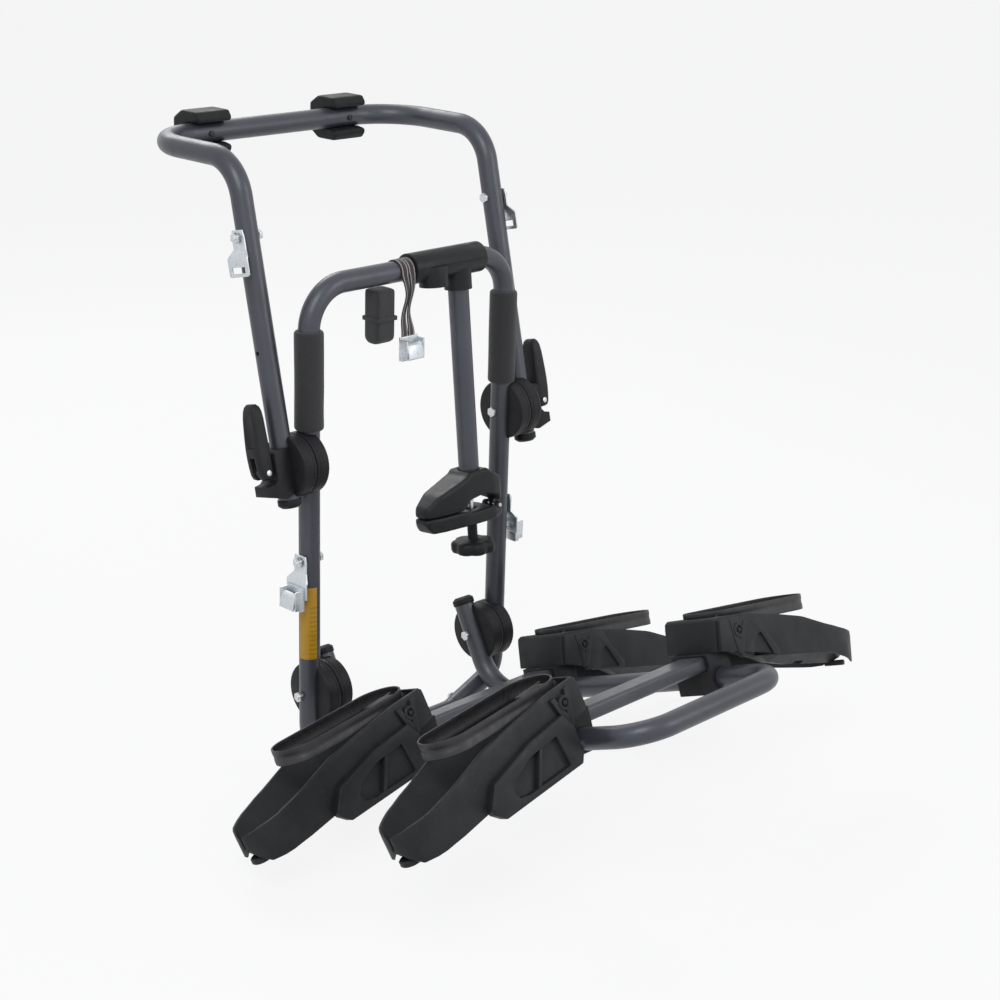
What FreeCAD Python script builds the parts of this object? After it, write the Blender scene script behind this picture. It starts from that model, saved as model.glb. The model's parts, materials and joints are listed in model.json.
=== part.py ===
import FreeCAD
import Part
import math
import os
import re

import Sketcher

# A two-bike carrier that straps to the rear door of a car. A bent tube frame leans on the door
# with two foam sleeves, an upper bow reaches forward over the roof edge, and a tilted platform
# with four wheel trays folds out behind. Units are millimetres.
#
# Axes: X across the car, +Y towards the car, +Z up. The origin is the middle of the line along
# which the two foam sleeves touch the door, halfway up the sleeves.

doc = FreeCAD.newDocument("TailgateCarrier")
sheet = doc.addObject("Spreadsheet::Sheet", "Sheet")

DIMENSIONS = {
    # steel tube
    "tube_radius": 15, "tube_wall": 1.5,
    # main frame
    "leg_x": 188, "hinge_up": 348.5, "cross_up": 590, "top_bend": 60, "sleeve_mid": 462.5,
    "sleeve_length": 138, "sleeve_radius": 20.5, "toe_up": -75, "foot_x": 95, "foot_up": -114,
    "toe_bend": 44, "foot_bend": 110, "joint_x": 106,
    # hinges
    "gap": 44.6, "disc_radius": 44, "disc_play": 0.4, "rim_round": 5, "bolt_radius": 4,
    "bolt_play": 0.1, "head_radius": 7.5, "head_height": 5.3,
    # upper bow
    "bow_lean": 13.2, "bow_up": 753.5, "bow_reach": 296, "bow_knee": 62, "bow_corner": 82,
    "bow_tail": 46, "cap_length": 12, "cap_radius": 16.5, "pad_half": 32, "pad_width": 60,
    # platform
    "arm_x": 143.4, "arm_rise": 48, "arm_angle": 62, "platform_tilt": 21.5, "base_y": -62.6,
    "base_up": -80.6, "platform_out": 558, "elbow": 64, "platform_corner": 84,
    "bar_half": 172, "bar_width": 46, "bar_shift": 7, "bar_depth": 20, "bar_first": 112, "bar_step": 300,
    # wheel trays
    "tray_x": 141, "tray_up": 77.5, "tray_tilt": 12.4, "tray_length": 332, "tray_half": 49,
    "tray_end_half": 43, "tray_depth": 51, "tray_deep": 83, "tray_wall": 3.5, "basin_half": 43,
    "basin_depth": 28, "basin_start": 4, "basin_length": 196, "groove_half": 37, "groove_floor": 6, "groove_depth": 62,
    "groove_start": 14, "flange_thick": 15,
    # wheel straps and ratchets
    "strap_band": 22, "strap_thick": 2.8, "strap_half": 110, "strap_side": 38, "strap_x": 259,
    "strap_up": 66, "strap_tilt": 7, "ratchet_x": 40, "ratchet_y": 18, "ratchet_up": 4,
    # cam levers
    "saddle_half": 17, "lever_up": 94, "lever_half": 15,
    "pin_out": 38, "lever_out": 8, "pin_radius": 4,
    # frame holder
    "holder_x": 89, "holder_lean": 6.5, "bracket_radius": 22, "bracket_from": -7,
    "bracket_to": 130, "post_radius": 15, "post_length": 322, "jaw_left": 104, "jaw_right": 50,
    "jaw_half": 24, "knob_radius": 33, "stud_radius": 4,
    # webbing fittings
    "plate_thick": 2, "joggle": 7, "plate_width": 42, "plate_length": 62, "webbing": 25,
    "plate_up": 204, "bow_plate_up": 314, "bow_hole_up": 158, "tie_x": -21,
}
for row, (alias, value) in enumerate(DIMENSIONS.items(), start=1):
    sheet.set(f"A{row}", alias)
    sheet.set(f"B{row}", str(value))
    sheet.setAlias(f"B{row}", alias)
doc.recompute()

ALIAS = re.compile(r"[a-z]+(?:_[a-z]+)+|gap|elbow|webbing|joggle")


def bound(text):
    """The sheet expression for a formula written with the sheet's aliases."""
    return ALIAS.sub(lambda match: "Sheet." + match.group(0), str(text))


def num(text):
    """The present value of a formula written with the sheet's aliases."""
    value = sheet.evalExpression(bound(text))
    return float(getattr(value, "Value", value))


V = FreeCAD.Vector
X_AXIS, Y_AXIS, Z_AXIS = V(1, 0, 0), V(0, 1, 0), V(0, 0, 1)
FRAME_Y = -num("sleeve_radius")
HINGE_Z = -num("sleeve_mid")
SIDES = (("left", -1), ("right", 1))
pieces = []


def at(x, y, z):
    """A point given from the lower hinge axis, the frame's mid plane and the centre line."""
    return V(x, FRAME_Y + y, HINGE_Z + z)


def turned_to(axis, spin=0):
    """The rotation that takes +Z to an axis, after a spin about +Z."""
    return FreeCAD.Rotation(Z_AXIS, axis) * FreeCAD.Rotation(Z_AXIS, spin)


def keep(piece, label, placement=None):
    """Names a finished sub-part, places it and puts it on the list of files."""
    piece.Label = label
    if placement is not None:
        piece.Placement = placement
    pieces.append(piece)
    return piece


# ---------------------------------------------------------------- sketches and bodies


def new_body(name):
    return doc.addObject("PartDesign::Body", name)


def new_sketch(body, name, role="XY_Plane"):
    sketch = body.newObject("Sketcher::SketchObject", name)
    planes = [item for item in body.Origin.OriginFeatures if item.Role == role]
    sketch.AttachmentSupport = [(planes[0], "")]
    sketch.MapMode = "FlatFace"
    return sketch


def bind_point(sketch, edge, end, x, y):
    for kind, text in (("DistanceX", x), ("DistanceY", y)):
        index = sketch.addConstraint(Sketcher.Constraint(kind, edge, end, num(text)))
        sketch.setExpression(f"Constraints[{index}]", bound(text))


def outline(sketch, points):
    """A closed outline of straight edges whose corners are all bound to the sheet."""
    corners = [V(num(x), num(y), 0) for x, y in points]
    first = sketch.GeometryCount
    count = len(corners)
    for index in range(count):
        edge = Part.LineSegment(corners[index], corners[(index + 1) % count])
        sketch.addGeometry(edge, False)
    for index in range(count):
        after = first + (index + 1) % count
        sketch.addConstraint(Sketcher.Constraint("Coincident", first + index, 2, after, 1))
    for index, (x, y) in enumerate(points):
        bind_point(sketch, first + index, 1, x, y)


def ring(sketch, x, y, radius):
    """A circle bound to the sheet."""
    edge = sketch.addGeometry(Part.Circle(V(num(x), num(y), 0), Z_AXIS, num(radius)), False)
    bind_point(sketch, edge, 3, x, y)
    index = sketch.addConstraint(Sketcher.Constraint("Radius", edge, num(radius)))
    sketch.setExpression(f"Constraints[{index}]", bound(radius))


def padded(name, points, length, holes=(), midplane=True):
    """A body made by padding one outline with round holes."""
    body = new_body(name)
    sketch = new_sketch(body, name + "_sketch")
    outline(sketch, points)
    for x, y, radius in holes:
        ring(sketch, x, y, radius)
    pad = body.newObject("PartDesign::Pad", name + "_pad")
    pad.Profile = sketch
    pad.Midplane = midplane
    pad.setExpression("Length", bound(length))
    sketch.Visibility = False
    return body


def revolved(name, points):
    """A body turned about its own Z axis from an outline of (radius, height) corners."""
    body = new_body(name)
    sketch = new_sketch(body, name + "_sketch", "XZ_Plane")
    outline(sketch, points)
    turn = body.newObject("PartDesign::Revolution", name + "_turn")
    turn.Profile = sketch
    turn.ReferenceAxis = (sketch, ["V_Axis"])
    turn.Angle = 360
    return body


def rounded(body, radius, wanted):
    """Rounds the edges of a body's tip that pass a test."""
    doc.recompute()
    base = body.Tip
    names = [f"Edge{i}" for i, edge in enumerate(base.Shape.Edges, start=1) if wanted(edge)]
    fillet = body.newObject("PartDesign::Fillet", body.Name + "_round")
    fillet.Base = (base, names)
    fillet.setExpression("Radius", bound(radius))
    return body


def along(axis):
    """A test for straight edges that run along an axis."""
    def wanted(edge):
        if not isinstance(edge.Curve, Part.Line):
            return False
        return abs(abs(edge.Curve.Direction.dot(axis)) - 1) < 1e-6
    return wanted


# ---------------------------------------------------------------- primitives and booleans


def cylinder(name, radius, height, placement):
    item = doc.addObject("Part::Cylinder", name)
    item.setExpression("Radius", bound(radius))
    item.setExpression("Height", bound(height))
    item.Placement = placement
    return item


def rod(name, radius, centre, axis, length):
    """A round bar centred on a point."""
    start = centre - axis * (num(length) / 2)
    return cylinder(name, radius, length, FreeCAD.Placement(start, turned_to(axis)))


def box(name, length, width, height, placement):
    """A box centred on its placement."""
    item = doc.addObject("Part::Box", name)
    for prop, text in (("Length", length), ("Width", width), ("Height", height)):
        item.setExpression(prop, bound(text))
    half = V(-num(length) / 2, -num(width) / 2, -num(height) / 2)
    item.Placement = placement * FreeCAD.Placement(half, FreeCAD.Rotation())
    return item


def cut(name, base, *tools):
    for index, tool in enumerate(tools):
        result = doc.addObject("Part::Cut", f"{name}_cut{index}")
        result.Base, result.Tool = base, tool
        base = result
    return base


def fuse(name, *shapes):
    if len(shapes) == 1:
        return shapes[0]
    result = doc.addObject("Part::MultiFuse", name + "_fuse")
    result.Shapes = list(shapes)
    result.Refine = True
    return result


def common(name, *shapes):
    result = doc.addObject("Part::MultiCommon", name + "_common")
    result.Shapes = list(shapes)
    return result


def group(name, *shapes):
    """Identical loose pieces that share one node."""
    result = doc.addObject("Part::Compound", name + "_group")
    result.Links = list(shapes)
    return result


# ---------------------------------------------------------------- bent tube


def bent_path(points, radii):
    """Straight runs joined by tangent arcs."""
    edges = []
    start = points[0]
    for before, corner, after, radius in zip(points, points[1:], points[2:], radii):
        back = (before - corner).normalize()
        ahead = (after - corner).normalize()
        half = back.getAngle(ahead) / 2
        run = radius / math.tan(half)
        middle = (back + ahead).normalize() * (radius / math.sin(half) - radius)
        begin, end = corner + back * run, corner + ahead * run
        edges.append(Part.LineSegment(start, begin).toShape())
        edges.append(Part.Arc(begin, corner + middle, end).toShape())
        start = end
    edges.append(Part.LineSegment(start, points[-1]).toShape())
    return Part.Wire(edges)


def swept(path, radius):
    start = path.Edges[0]
    first = start.valueAt(start.FirstParameter)
    section = Part.Wire(Part.makeCircle(radius, first, start.tangentAt(start.FirstParameter)))
    return path.makePipeShell([section], True, True)


def bent_tube(name, points, radii, holes=()):
    """A hollow bent tube, drilled where bolts cross it."""
    path = bent_path(points, radii)
    outer = num("tube_radius")
    shape = swept(path, outer).cut(swept(path, outer - num("tube_wall")))
    for centre, axis, radius in holes:
        length = 4 * outer
        shape = shape.cut(Part.makeCylinder(radius, length, centre - axis * (length / 2), axis))
    tube = doc.addObject("Part::Feature", name)
    tube.Shape = shape
    return tube


LEG = num("leg_x")
BOW_X = num("leg_x + gap")
ARM_X = num("arm_x")
UP = num("hinge_up")
HOLE = num("bolt_radius + bolt_play")
LEAN = math.radians(num("bow_lean"))
BOW_DIRECTION = V(0, math.sin(LEAN), math.cos(LEAN))
BOW_ACROSS = V(0, math.cos(LEAN), -math.sin(LEAN))
BRACKET_SCREWS = (-84, -48, 34)
PAD_SCREWS = (-126, 136)
PAD_CENTRES = (("left", -124), ("right", 132))


# ---------------------------------------------------------------- main frame


def main_frame():
    """One bent tube from toe to toe, over both legs and the top bar."""
    half = [
        at(num("joint_x"), 0, num("foot_up")
           + (num("joint_x") - num("foot_x")) * (num("toe_up") - num("foot_up"))
           / (LEG - num("foot_x"))),
        at(LEG, 0, num("toe_up")),
        at(LEG, 0, num("cross_up")),
    ]
    other = [V(-p.x, p.y, p.z) for p in reversed(half)]
    bends = [num("toe_bend"), num("top_bend"), num("top_bend"), num("toe_bend")]
    holes = []
    for _, side in SIDES:
        for z in (0, UP, num("plate_up")):
            holes.append((at(side * LEG, 0, z), X_AXIS, HOLE))
        holes.append((joint_point(side), Y_AXIS, 3.1))
    keep(bent_tube("main_frame", half + other, bends, holes), "main_frame_tube")


def toe_direction(side):
    run = V(side * (LEG - num("foot_x")), 0, num("toe_up") - num("foot_up"))
    return run.normalize()


def joint_point(side):
    """Where a bolt holds the bottom bar's spigot in the toe of a leg."""
    foot = at(side * num("foot_x"), 0, num("foot_up"))
    return foot + toe_direction(side) * 24


def bottom_bar():
    """The bowed bottom bar, with a turned-down spigot that enters each toe."""
    slope = (num("toe_up") - num("foot_up")) / (LEG - num("foot_x"))
    ends = []
    for side in (1, -1):
        x = num("joint_x") - 0.2
        ends.append(at(side * x, 0, num("foot_up") + (x - num("foot_x")) * slope))
    feet = [at(side * num("foot_x"), 0, num("foot_up")) for side in (1, -1)]
    # The end points sit just past each bend, so the bend uses the short run that is there.
    path = bent_path([ends[0], feet[0], feet[1], ends[1]], [num("foot_bend") / 3] * 2)
    outer, wall = num("tube_radius"), num("tube_wall")
    shape = swept(path, outer).cut(swept(path, outer - wall))
    for side, end in ((1, ends[0]), (-1, ends[1])):
        way = toe_direction(side)
        spigot = Part.makeCylinder(outer - wall - 0.1, 44, end - way * 16, way)
        bore = Part.makeCylinder(outer - 2 * wall - 0.1, 44, end - way * 16, way)
        shape = shape.fuse(spigot).cut(bore)
        shape = shape.cut(Part.makeCylinder(3.1, 60, joint_point(side) - Y_AXIS * 30, Y_AXIS))
    bar = doc.addObject("Part::Feature", "bottom_bar")
    bar.Shape = shape.removeSplitter()
    keep(bar, "bottom_bar")


def hex_bolt(name, start, axis, shank, length, head, height, nut=True):
    """A bolt from the underside of its head, with a nut at the far end."""
    spin = turned_to(axis)
    parts = [cylinder(name + "_shank", shank, length, FreeCAD.Placement(start, spin))]
    prism = doc.addObject("Part::Prism", name + "_head")
    prism.Polygon = 6
    prism.setExpression("Circumradius", bound(head))
    prism.setExpression("Height", bound(height))
    prism.Placement = FreeCAD.Placement(start - axis * num(height), spin)
    parts.append(prism)
    if nut:
        washer = doc.addObject("Part::Prism", name + "_nut")
        washer.Polygon = 6
        washer.setExpression("Circumradius", bound(head))
        washer.setExpression("Height", bound(height))
        end = start + axis * (num(length) - num(height) - 1.5)
        washer.Placement = FreeCAD.Placement(end, spin)
        parts.append(washer)
    return fuse(name, *parts)


def frame_bolts():
    bolts = []
    for name, side in SIDES:
        start = joint_point(side) - Y_AXIS * num("tube_radius")
        bolts.append(hex_bolt("joint_bolt_" + name, start, Y_AXIS, 3, 39, 5.8, 4))
    keep(group("frame_joint_bolts", *bolts), "frame_joint_bolts")


def foam_sleeves():
    for name, side in SIDES:
        z = num("sleeve_mid - sleeve_length / 2")
        hollow, skin = "tube_radius + 0.1", "sleeve_radius"
        body = revolved("foam_" + name, [
            (hollow, "0"), (skin + " - 2", "0"), (skin, "2"), (skin, "sleeve_length - 2"),
            (skin + " - 2", "sleeve_length"), (hollow, "sleeve_length")])
        keep(body, "foam_sleeve_" + name, FreeCAD.Placement(at(side * LEG, 0, z), FreeCAD.Rotation()))


# ---------------------------------------------------------------- hinges


def disc(name, centre, facing, tube_way):
    """A plastic half drum, saddled on its tube and flat on the side that meets its mate.

    The centre is on the tube's axis, and the flat side looks along facing.
    """
    depth = "gap / 2 - disc_play / 2"
    body = revolved(name, [
        ("bolt_radius + bolt_play", "0"), ("disc_radius - 2", "0"), ("disc_radius", "2"),
        ("disc_radius", depth + " - 2"), ("disc_radius - 2", depth),
        ("bolt_radius + bolt_play", depth)])
    body.Placement = FreeCAD.Placement(centre, turned_to(facing))
    saddle = rod(name + "_saddle", "tube_radius + 0.05", centre, tube_way, "3 * disc_radius")
    return cut(name, body, saddle)


def hinges():
    nodes = {"upper_frame_discs": [], "bow_discs": [], "lower_frame_discs": [], "platform_discs": []}
    arm = arm_direction()
    for name, side in SIDES:
        out, back = X_AXIS * side, X_AXIS * -side
        upper, lower = at(side * LEG, 0, UP), at(side * LEG, 0, 0)
        nodes["upper_frame_discs"].append(disc("upper_disc_" + name, upper, out, Z_AXIS))
        nodes["bow_discs"].append(
            disc("bow_disc_" + name, at(side * BOW_X, 0, UP), back, BOW_DIRECTION))
        nodes["lower_frame_discs"].append(disc("lower_disc_" + name, lower, back, Z_AXIS))
        nodes["platform_discs"].append(
            disc("platform_disc_" + name, at(side * ARM_X, 0, 0), out, arm))
    for label, discs in nodes.items():
        keep(group(label, *discs), label)
    bolts = []
    for name, side in SIDES:
        start = at(side * (ARM_X - num("tube_radius")), 0, 0)
        bolts.append(hex_bolt("pivot_" + name, start, X_AXIS * side, "bolt_radius",
                              "gap + 2 * tube_radius + 10", "head_radius", "head_height"))
    keep(group("lower_hinge_bolts", *bolts), "lower_hinge_bolts")


# ---------------------------------------------------------------- upper bow


def bow_path():
    """The bow's corner points from the left tail round to the right, and its bend radii."""
    top = num("bow_up")
    tail = num("bow_tail")
    side_run = [
        at(BOW_X, -tail * math.sin(LEAN), UP - tail * math.cos(LEAN)),
        at(BOW_X, math.tan(LEAN) * (top - UP), top),
        at(BOW_X, num("bow_reach"), top),
    ]
    other = [V(-p.x, p.y, p.z) for p in reversed(side_run)]
    bends = [num("bow_knee"), num("bow_corner"), num("bow_corner"), num("bow_knee")]
    return side_run + other, bends


def bow():
    holes = []
    for _, side in SIDES:
        hinge = at(side * BOW_X, 0, UP)
        holes.append((hinge, X_AXIS, HOLE))
        holes.append((hinge + BOW_DIRECTION * num("bow_plate_up"), X_AXIS, HOLE))
        holes.append((hinge + BOW_DIRECTION * num("bow_hole_up"), X_AXIS, 3.2))
    for x in PAD_SCREWS:
        holes.append((at(x, num("bow_reach"), num("bow_up")), Y_AXIS, 2.6))
    points, bends = bow_path()
    keep(bent_tube("bow", points, bends, holes), "upper_bow_tube")
    tail = num("bow_tail")
    caps = []
    for name, side in SIDES:
        start = at(side * BOW_X, 0, UP) - BOW_DIRECTION * (tail - 2)
        caps.append(end_cap("bow_cap_" + name, start, BOW_DIRECTION * -1))
    keep(group("bow_end_caps", *caps), "bow_end_caps")


def end_cap(name, start, axis):
    """A plastic cap that slips over the end of a tube."""
    body = revolved(name, [
        ("tube_radius + 0.05", "0"), ("cap_radius", "0"), ("cap_radius", "cap_length - 4"),
        ("cap_radius - 5", "cap_length"), ("0", "cap_length"), ("0", "2.1"),
        ("tube_radius + 0.05", "2.1")])
    body.Placement = FreeCAD.Placement(start, turned_to(axis))
    return body


def rest_pads():
    """Forked plastic pads that clip over the bow's top bar and rest on the roof edge."""
    seat = doc.addObject("Part::Feature", "pad_seat")
    seat.Shape = swept(bent_path(*bow_path()), num("tube_radius") + 0.05)
    for (name, x), screw_x in zip(PAD_CENTRES, PAD_SCREWS):
        body = padded("pad_" + name, [
            ("-22", "pad_half - 8"), ("-16", "pad_half"), ("20", "pad_half"), ("38", "20"),
            ("38", "-20"), ("20", "-pad_half"), ("-16", "-pad_half"), ("-22", "8 - pad_half"),
            ("-22", "-17"), ("2", "-13"), ("2", "13"), ("-22", "17")], "pad_width")
        centre = at(x, num("bow_reach"), num("bow_up"))
        spin = FreeCAD.Rotation(Y_AXIS, Z_AXIS, X_AXIS, "ZXY")
        body.Placement = FreeCAD.Placement(centre, spin)
        screw_at = at(screw_x, num("bow_reach") + 7.2, num("bow_up"))
        hole = rod("pad_hole_" + name, "2.6", screw_at, Y_AXIS, "44.8")
        keep(cut("pad_" + name, body, seat, hole), "rest_pad_" + name)
    screws = []
    for index, x in enumerate(PAD_SCREWS):
        start = at(x, num("bow_reach") - num("tube_radius"), num("bow_up"))
        screws.append(hex_bolt(f"pad_screw_{index}", start, Y_AXIS, 2.5, 44, 4.6, 2.4, nut=False))
    keep(group("rest_pad_screws", *screws), "rest_pad_screws")


# ---------------------------------------------------------------- cam levers


def cam_levers():
    """A clamping lever outside each upper hinge, on a pin through the end of the long bolt."""
    bolts, saddles, pins = [], [], []
    tube = num("tube_radius")
    for name, side in SIDES:
        out = X_AXIS * side
        hinge = at(side * BOW_X, 0, UP)
        spin = FreeCAD.Rotation(out, BOW_ACROSS * side * -1, BOW_DIRECTION, "XZY")
        frame = FreeCAD.Placement(hinge, spin)
        start = at(side * (LEG - tube), 0, UP)
        shank = hex_bolt("cam_bolt_" + name, start, out, "bolt_radius",
                         "gap + tube_radius + pin_out", "head_radius", "head_height", nut=False)
        pin_at = hinge + out * num("pin_out")
        eye = rod("eye_" + name, "7", pin_at, BOW_ACROSS, "9")
        hole = rod("eye_hole_" + name, "pin_radius + 0.05", pin_at, BOW_ACROSS, "20")
        bolts.append(cut("cam_bolt_" + name, fuse("cam_bolt_eye_" + name, shank, eye), hole))
        block = padded("saddle_block_" + name, [
            ("0", "-36"), ("16", "-40"), ("34 + lever_out", "-33"), ("34 + lever_out", "-19"),
            ("24 + lever_out", "-17"), ("18.4 + lever_out", "-12"), ("18.4 + lever_out", "24"),
            ("14 + lever_out", "28"), ("0", "28")], "2 * saddle_half")
        stand = FreeCAD.Placement(hinge, FreeCAD.Rotation(out, BOW_DIRECTION, BOW_ACROSS, "XYZ"))
        block.Placement = stand
        bed = rod("saddle_bed_" + name, "tube_radius + 0.05", hinge, BOW_DIRECTION, "120")
        bore = rod("saddle_bore_" + name, HOLE, hinge + out * 20, out, "60")
        saddles.append(cut("saddle_" + name, block, bed, bore))
        pins.append(rod("pin_" + name, "pin_radius", pin_at, BOW_ACROSS, "2 * lever_half + 1"))
        lever = padded("lever_" + name, [
            ("19.4", "0"), ("21.5", "-6"), ("26", "-9.8"), ("33", "-10"), ("38.5", "-6.4"), ("42", "4"),
            ("44", "34"), ("41", "lever_up - 12"), ("34", "lever_up"), ("24", "lever_up - 1"),
            ("20", "lever_up - 14"), ("20", "14")], "2 * lever_half")
        lever.Placement = stand * FreeCAD.Placement(V(num("lever_out"), 0, 0), FreeCAD.Rotation())
        slot = box("lever_slot_" + name, "26", "9.6", "44",
                   frame * FreeCAD.Placement(V(39, 0, 0), FreeCAD.Rotation()))
        hollow = box("lever_hollow_" + name, "14", "2 * lever_half - 7", "52",
                     frame * FreeCAD.Placement(V(32, 0, 52), FreeCAD.Rotation()))
        pin_hole = rod("lever_hole_" + name, "pin_radius + 0.1", pin_at, BOW_ACROSS, "60")
        keep(cut("lever_" + name, lever, slot, hollow, pin_hole), "cam_lever_" + name)
    keep(group("cam_bolts", *bolts), "cam_bolts")
    keep(group("cam_saddles", *saddles), "cam_saddles")
    keep(group("lever_pins", *pins), "lever_pins")


# ---------------------------------------------------------------- platform


def arm_direction():
    angle = math.radians(num("arm_angle"))
    return V(0, math.cos(angle), math.sin(angle))


def platform_frame(x=0, out=0, up=0, rotation=None):
    """A placement given across, outward along and square to the platform's tubes."""
    tilt = FreeCAD.Placement(at(0, num("base_y"), num("base_up")),
                             FreeCAD.Rotation(X_AXIS, -num("platform_tilt")))
    return tilt * FreeCAD.Placement(V(x, -out, up), rotation or FreeCAD.Rotation())


def platform_tube():
    tilt = math.radians(num("platform_tilt"))
    outward = V(0, -math.cos(tilt), math.sin(tilt))
    rise = arm_direction()
    hinge = at(ARM_X, 0, 0)
    base = platform_frame(ARM_X).Base
    # The elbow is where the line of the arm meets the line of the platform.
    across = V(0, -outward.z, outward.y)
    elbow = hinge - rise * ((hinge - base).dot(across) / rise.dot(across))
    half = [hinge + rise * num("arm_rise"), elbow, platform_frame(ARM_X, num("platform_out")).Base]
    other = [V(-p.x, p.y, p.z) for p in reversed(half)]
    bends = [num("elbow"), num("platform_corner"), num("platform_corner"), num("elbow")]
    holes = [(at(side * ARM_X, 0, 0), X_AXIS, HOLE) for _, side in SIDES]
    keep(bent_tube("platform", half + other, bends, holes), "platform_tube")
    caps = []
    for name, side in SIDES:
        start = at(side * ARM_X, 0, 0) + rise * (num("arm_rise") - 2)
        caps.append(end_cap("arm_cap_" + name, start, rise))
    keep(group("platform_arm_caps", *caps), "platform_arm_caps")


def tray_rows():
    """The two tray rows: name and distance out along the platform."""
    return (("inner", num("bar_first")), ("outer", num("bar_first + bar_step")))


def tray_bars():
    bars = []
    for name, out in tray_rows():
        up = num("tube_radius + bar_depth / 2")
        bar = padded("row_bar_" + name, [
            ("-bar_width / 2", "-bar_depth / 2"), ("bar_width / 2", "-bar_depth / 2"),
            ("bar_width / 2", "bar_depth / 2"), ("-bar_width / 2", "bar_depth / 2")],
            "2 * bar_half")
        rounded(bar, "bar_depth / 4", along(Z_AXIS))
        spin = FreeCAD.Rotation(Y_AXIS, Z_AXIS, X_AXIS, "ZXY")
        bar.Placement = platform_frame(0, out + num("bar_shift"), up, spin)
        core = box(name + "_core", "2 * bar_half + 20", "bar_width - 4", "bar_depth - 4",
                   platform_frame(0, out + num("bar_shift"), up))
        bars.append(cut("tray_bar_" + name, bar, core))
    keep(group("tray_bars", *bars), "tray_bars")


def tray_placement(side, out):
    turn = FreeCAD.Rotation(Z_AXIS, 0 if side > 0 else 180)
    lean = FreeCAD.Rotation(Y_AXIS, num("tray_tilt"))
    return platform_frame(side * num("tray_x"), out, num("tray_up"), turn * lean)


def tray_solid(name):
    """One wheel tray in its own frame: +X outboard along it, +Y to its deep side, rim at Z = 0."""
    stand = FreeCAD.Placement(V(0, 0, 0), FreeCAD.Rotation(X_AXIS, 90))
    profile = padded(name + "_profile", [
        ("0", "-40"), ("0", "3"), ("4", "7"), ("58", "9.5"), ("128", "6.5"), ("188", "1"),
        ("tray_length - 90", "-12"), ("tray_length - 40", "-21"), ("tray_length - 4", "-26"),
        ("tray_length", "-34"), ("tray_length - 22", "-64"), ("tray_length - 28", "-tray_deep"),
        ("110", "-tray_deep"), ("60", "-70"), ("46", "-42")],
        "2 * tray_half")
    profile.Placement = stand
    plan = padded(name + "_plan", [
        ("0", "-tray_half + 5"), ("5", "-tray_half"), ("tray_length * 0.42", "-tray_half"),
        ("tray_length - 42", "-tray_end_half"), ("tray_length - 14", "-tray_end_half * 0.75"),
        ("tray_length", "-tray_end_half * 0.35"), ("tray_length", "tray_end_half * 0.35"),
        ("tray_length - 14", "tray_end_half * 0.75"), ("tray_length - 42", "tray_end_half"),
        ("tray_length * 0.42", "tray_half"), ("5", "tray_half"), ("0", "tray_half - 5")],
        "4 * tray_depth")
    along_tray = FreeCAD.Rotation(Y_AXIS, Z_AXIS, X_AXIS, "ZXY")
    section = padded(name + "_section", [
        ("-tray_half", "-tray_depth"), ("-tray_half", "16"), ("tray_half", "16"),
        ("tray_half", "-tray_deep"), ("tray_half - 12", "-tray_deep"), ("-tray_half + 12", "-tray_depth")],
        "tray_length + 20", midplane=False)
    section.Placement = FreeCAD.Placement(V(-10, 0, 0), along_tray)
    solid = common(name, profile, plan, section)
    basin = box(name + "_basin", "basin_length", "2 * basin_half", "2 * basin_depth",
                FreeCAD.Placement(V(num("basin_start + basin_length / 2"), 0, 0), FreeCAD.Rotation()))
    groove = padded(name + "_groove", [
        ("-groove_half", "14"), ("-groove_half", "1"), ("-groove_floor", "-groove_depth"),
        ("groove_floor", "-groove_depth"), ("groove_half", "1"), ("groove_half", "14")],
        "tray_length", midplane=False)
    groove.Placement = FreeCAD.Placement(V(num("groove_start + 70"), 0, 0), along_tray)
    # The underside is hollow except for the walls and for the shell of the channel.
    inner = padded(name + "_inner", [
        ("-1", "-tray_deep - 1"), ("-1", "-basin_depth - tray_wall"),
        ("tray_length - 60", "-basin_depth - tray_wall"), ("tray_length - 60", "-tray_deep - 1")],
        "2 * (tray_end_half - tray_wall - 1)")
    inner.Placement = stand
    shell = padded(name + "_shell", [
        ("-groove_half - tray_wall", "1"), ("-groove_floor - tray_wall", "-groove_depth - tray_wall"),
        ("groove_floor + tray_wall", "-groove_depth - tray_wall"),
        ("groove_half + tray_wall", "1")], "tray_length + 5", midplane=False)
    shell.Placement = FreeCAD.Placement(V(num("groove_start + 70 - tray_wall"), 0, 0), along_tray)
    hollow = cut(name + "_hollow", inner, shell)
    drain = box(name + "_drain", "18", "9", "14",
                FreeCAD.Placement(V(num("tray_length * 0.66"), 0, num("-groove_depth")), FreeCAD.Rotation()))
    tab = cylinder(name + "_tab", "15", "8",
                   FreeCAD.Placement(V(num("tray_length - 17"), 2, -74), FreeCAD.Rotation()))
    tab_hole = cylinder(name + "_tab_hole", "5", "17",
                        FreeCAD.Placement(V(num("tray_length - 14"), 2, -80.5), FreeCAD.Rotation()))
    flange = padded(name + "_flange", [
        ("52", "-20"), ("198", "-40"), ("218", "-66"), ("202", "-85"), ("50", "-93"),
        ("40", "-60")], "flange_thick")
    flange.Placement = FreeCAD.Placement(V(0, num("tray_half + 1"), 0), stand.Rotation)
    recess = padded(name + "_recess", [
        ("74", "-36"), ("180", "-48"), ("184", "-62"), ("170", "-76"), ("74", "-80")], "flange_thick")
    recess.Placement = FreeCAD.Placement(V(0, num("tray_half + 7"), 0), stand.Rotation)
    carved = cut(name + "_open", solid, basin, groove, hollow)
    return cut(name, fuse(name, carved, tab, flange), drain, tab_hole, recess)


def wheel_trays():
    for row, out in tray_rows():
        for name, side in SIDES:
            label = f"wheel_tray_{row}_{name}"
            keep(tray_solid("tray_" + row + "_" + name), label, tray_placement(side, out))


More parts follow.
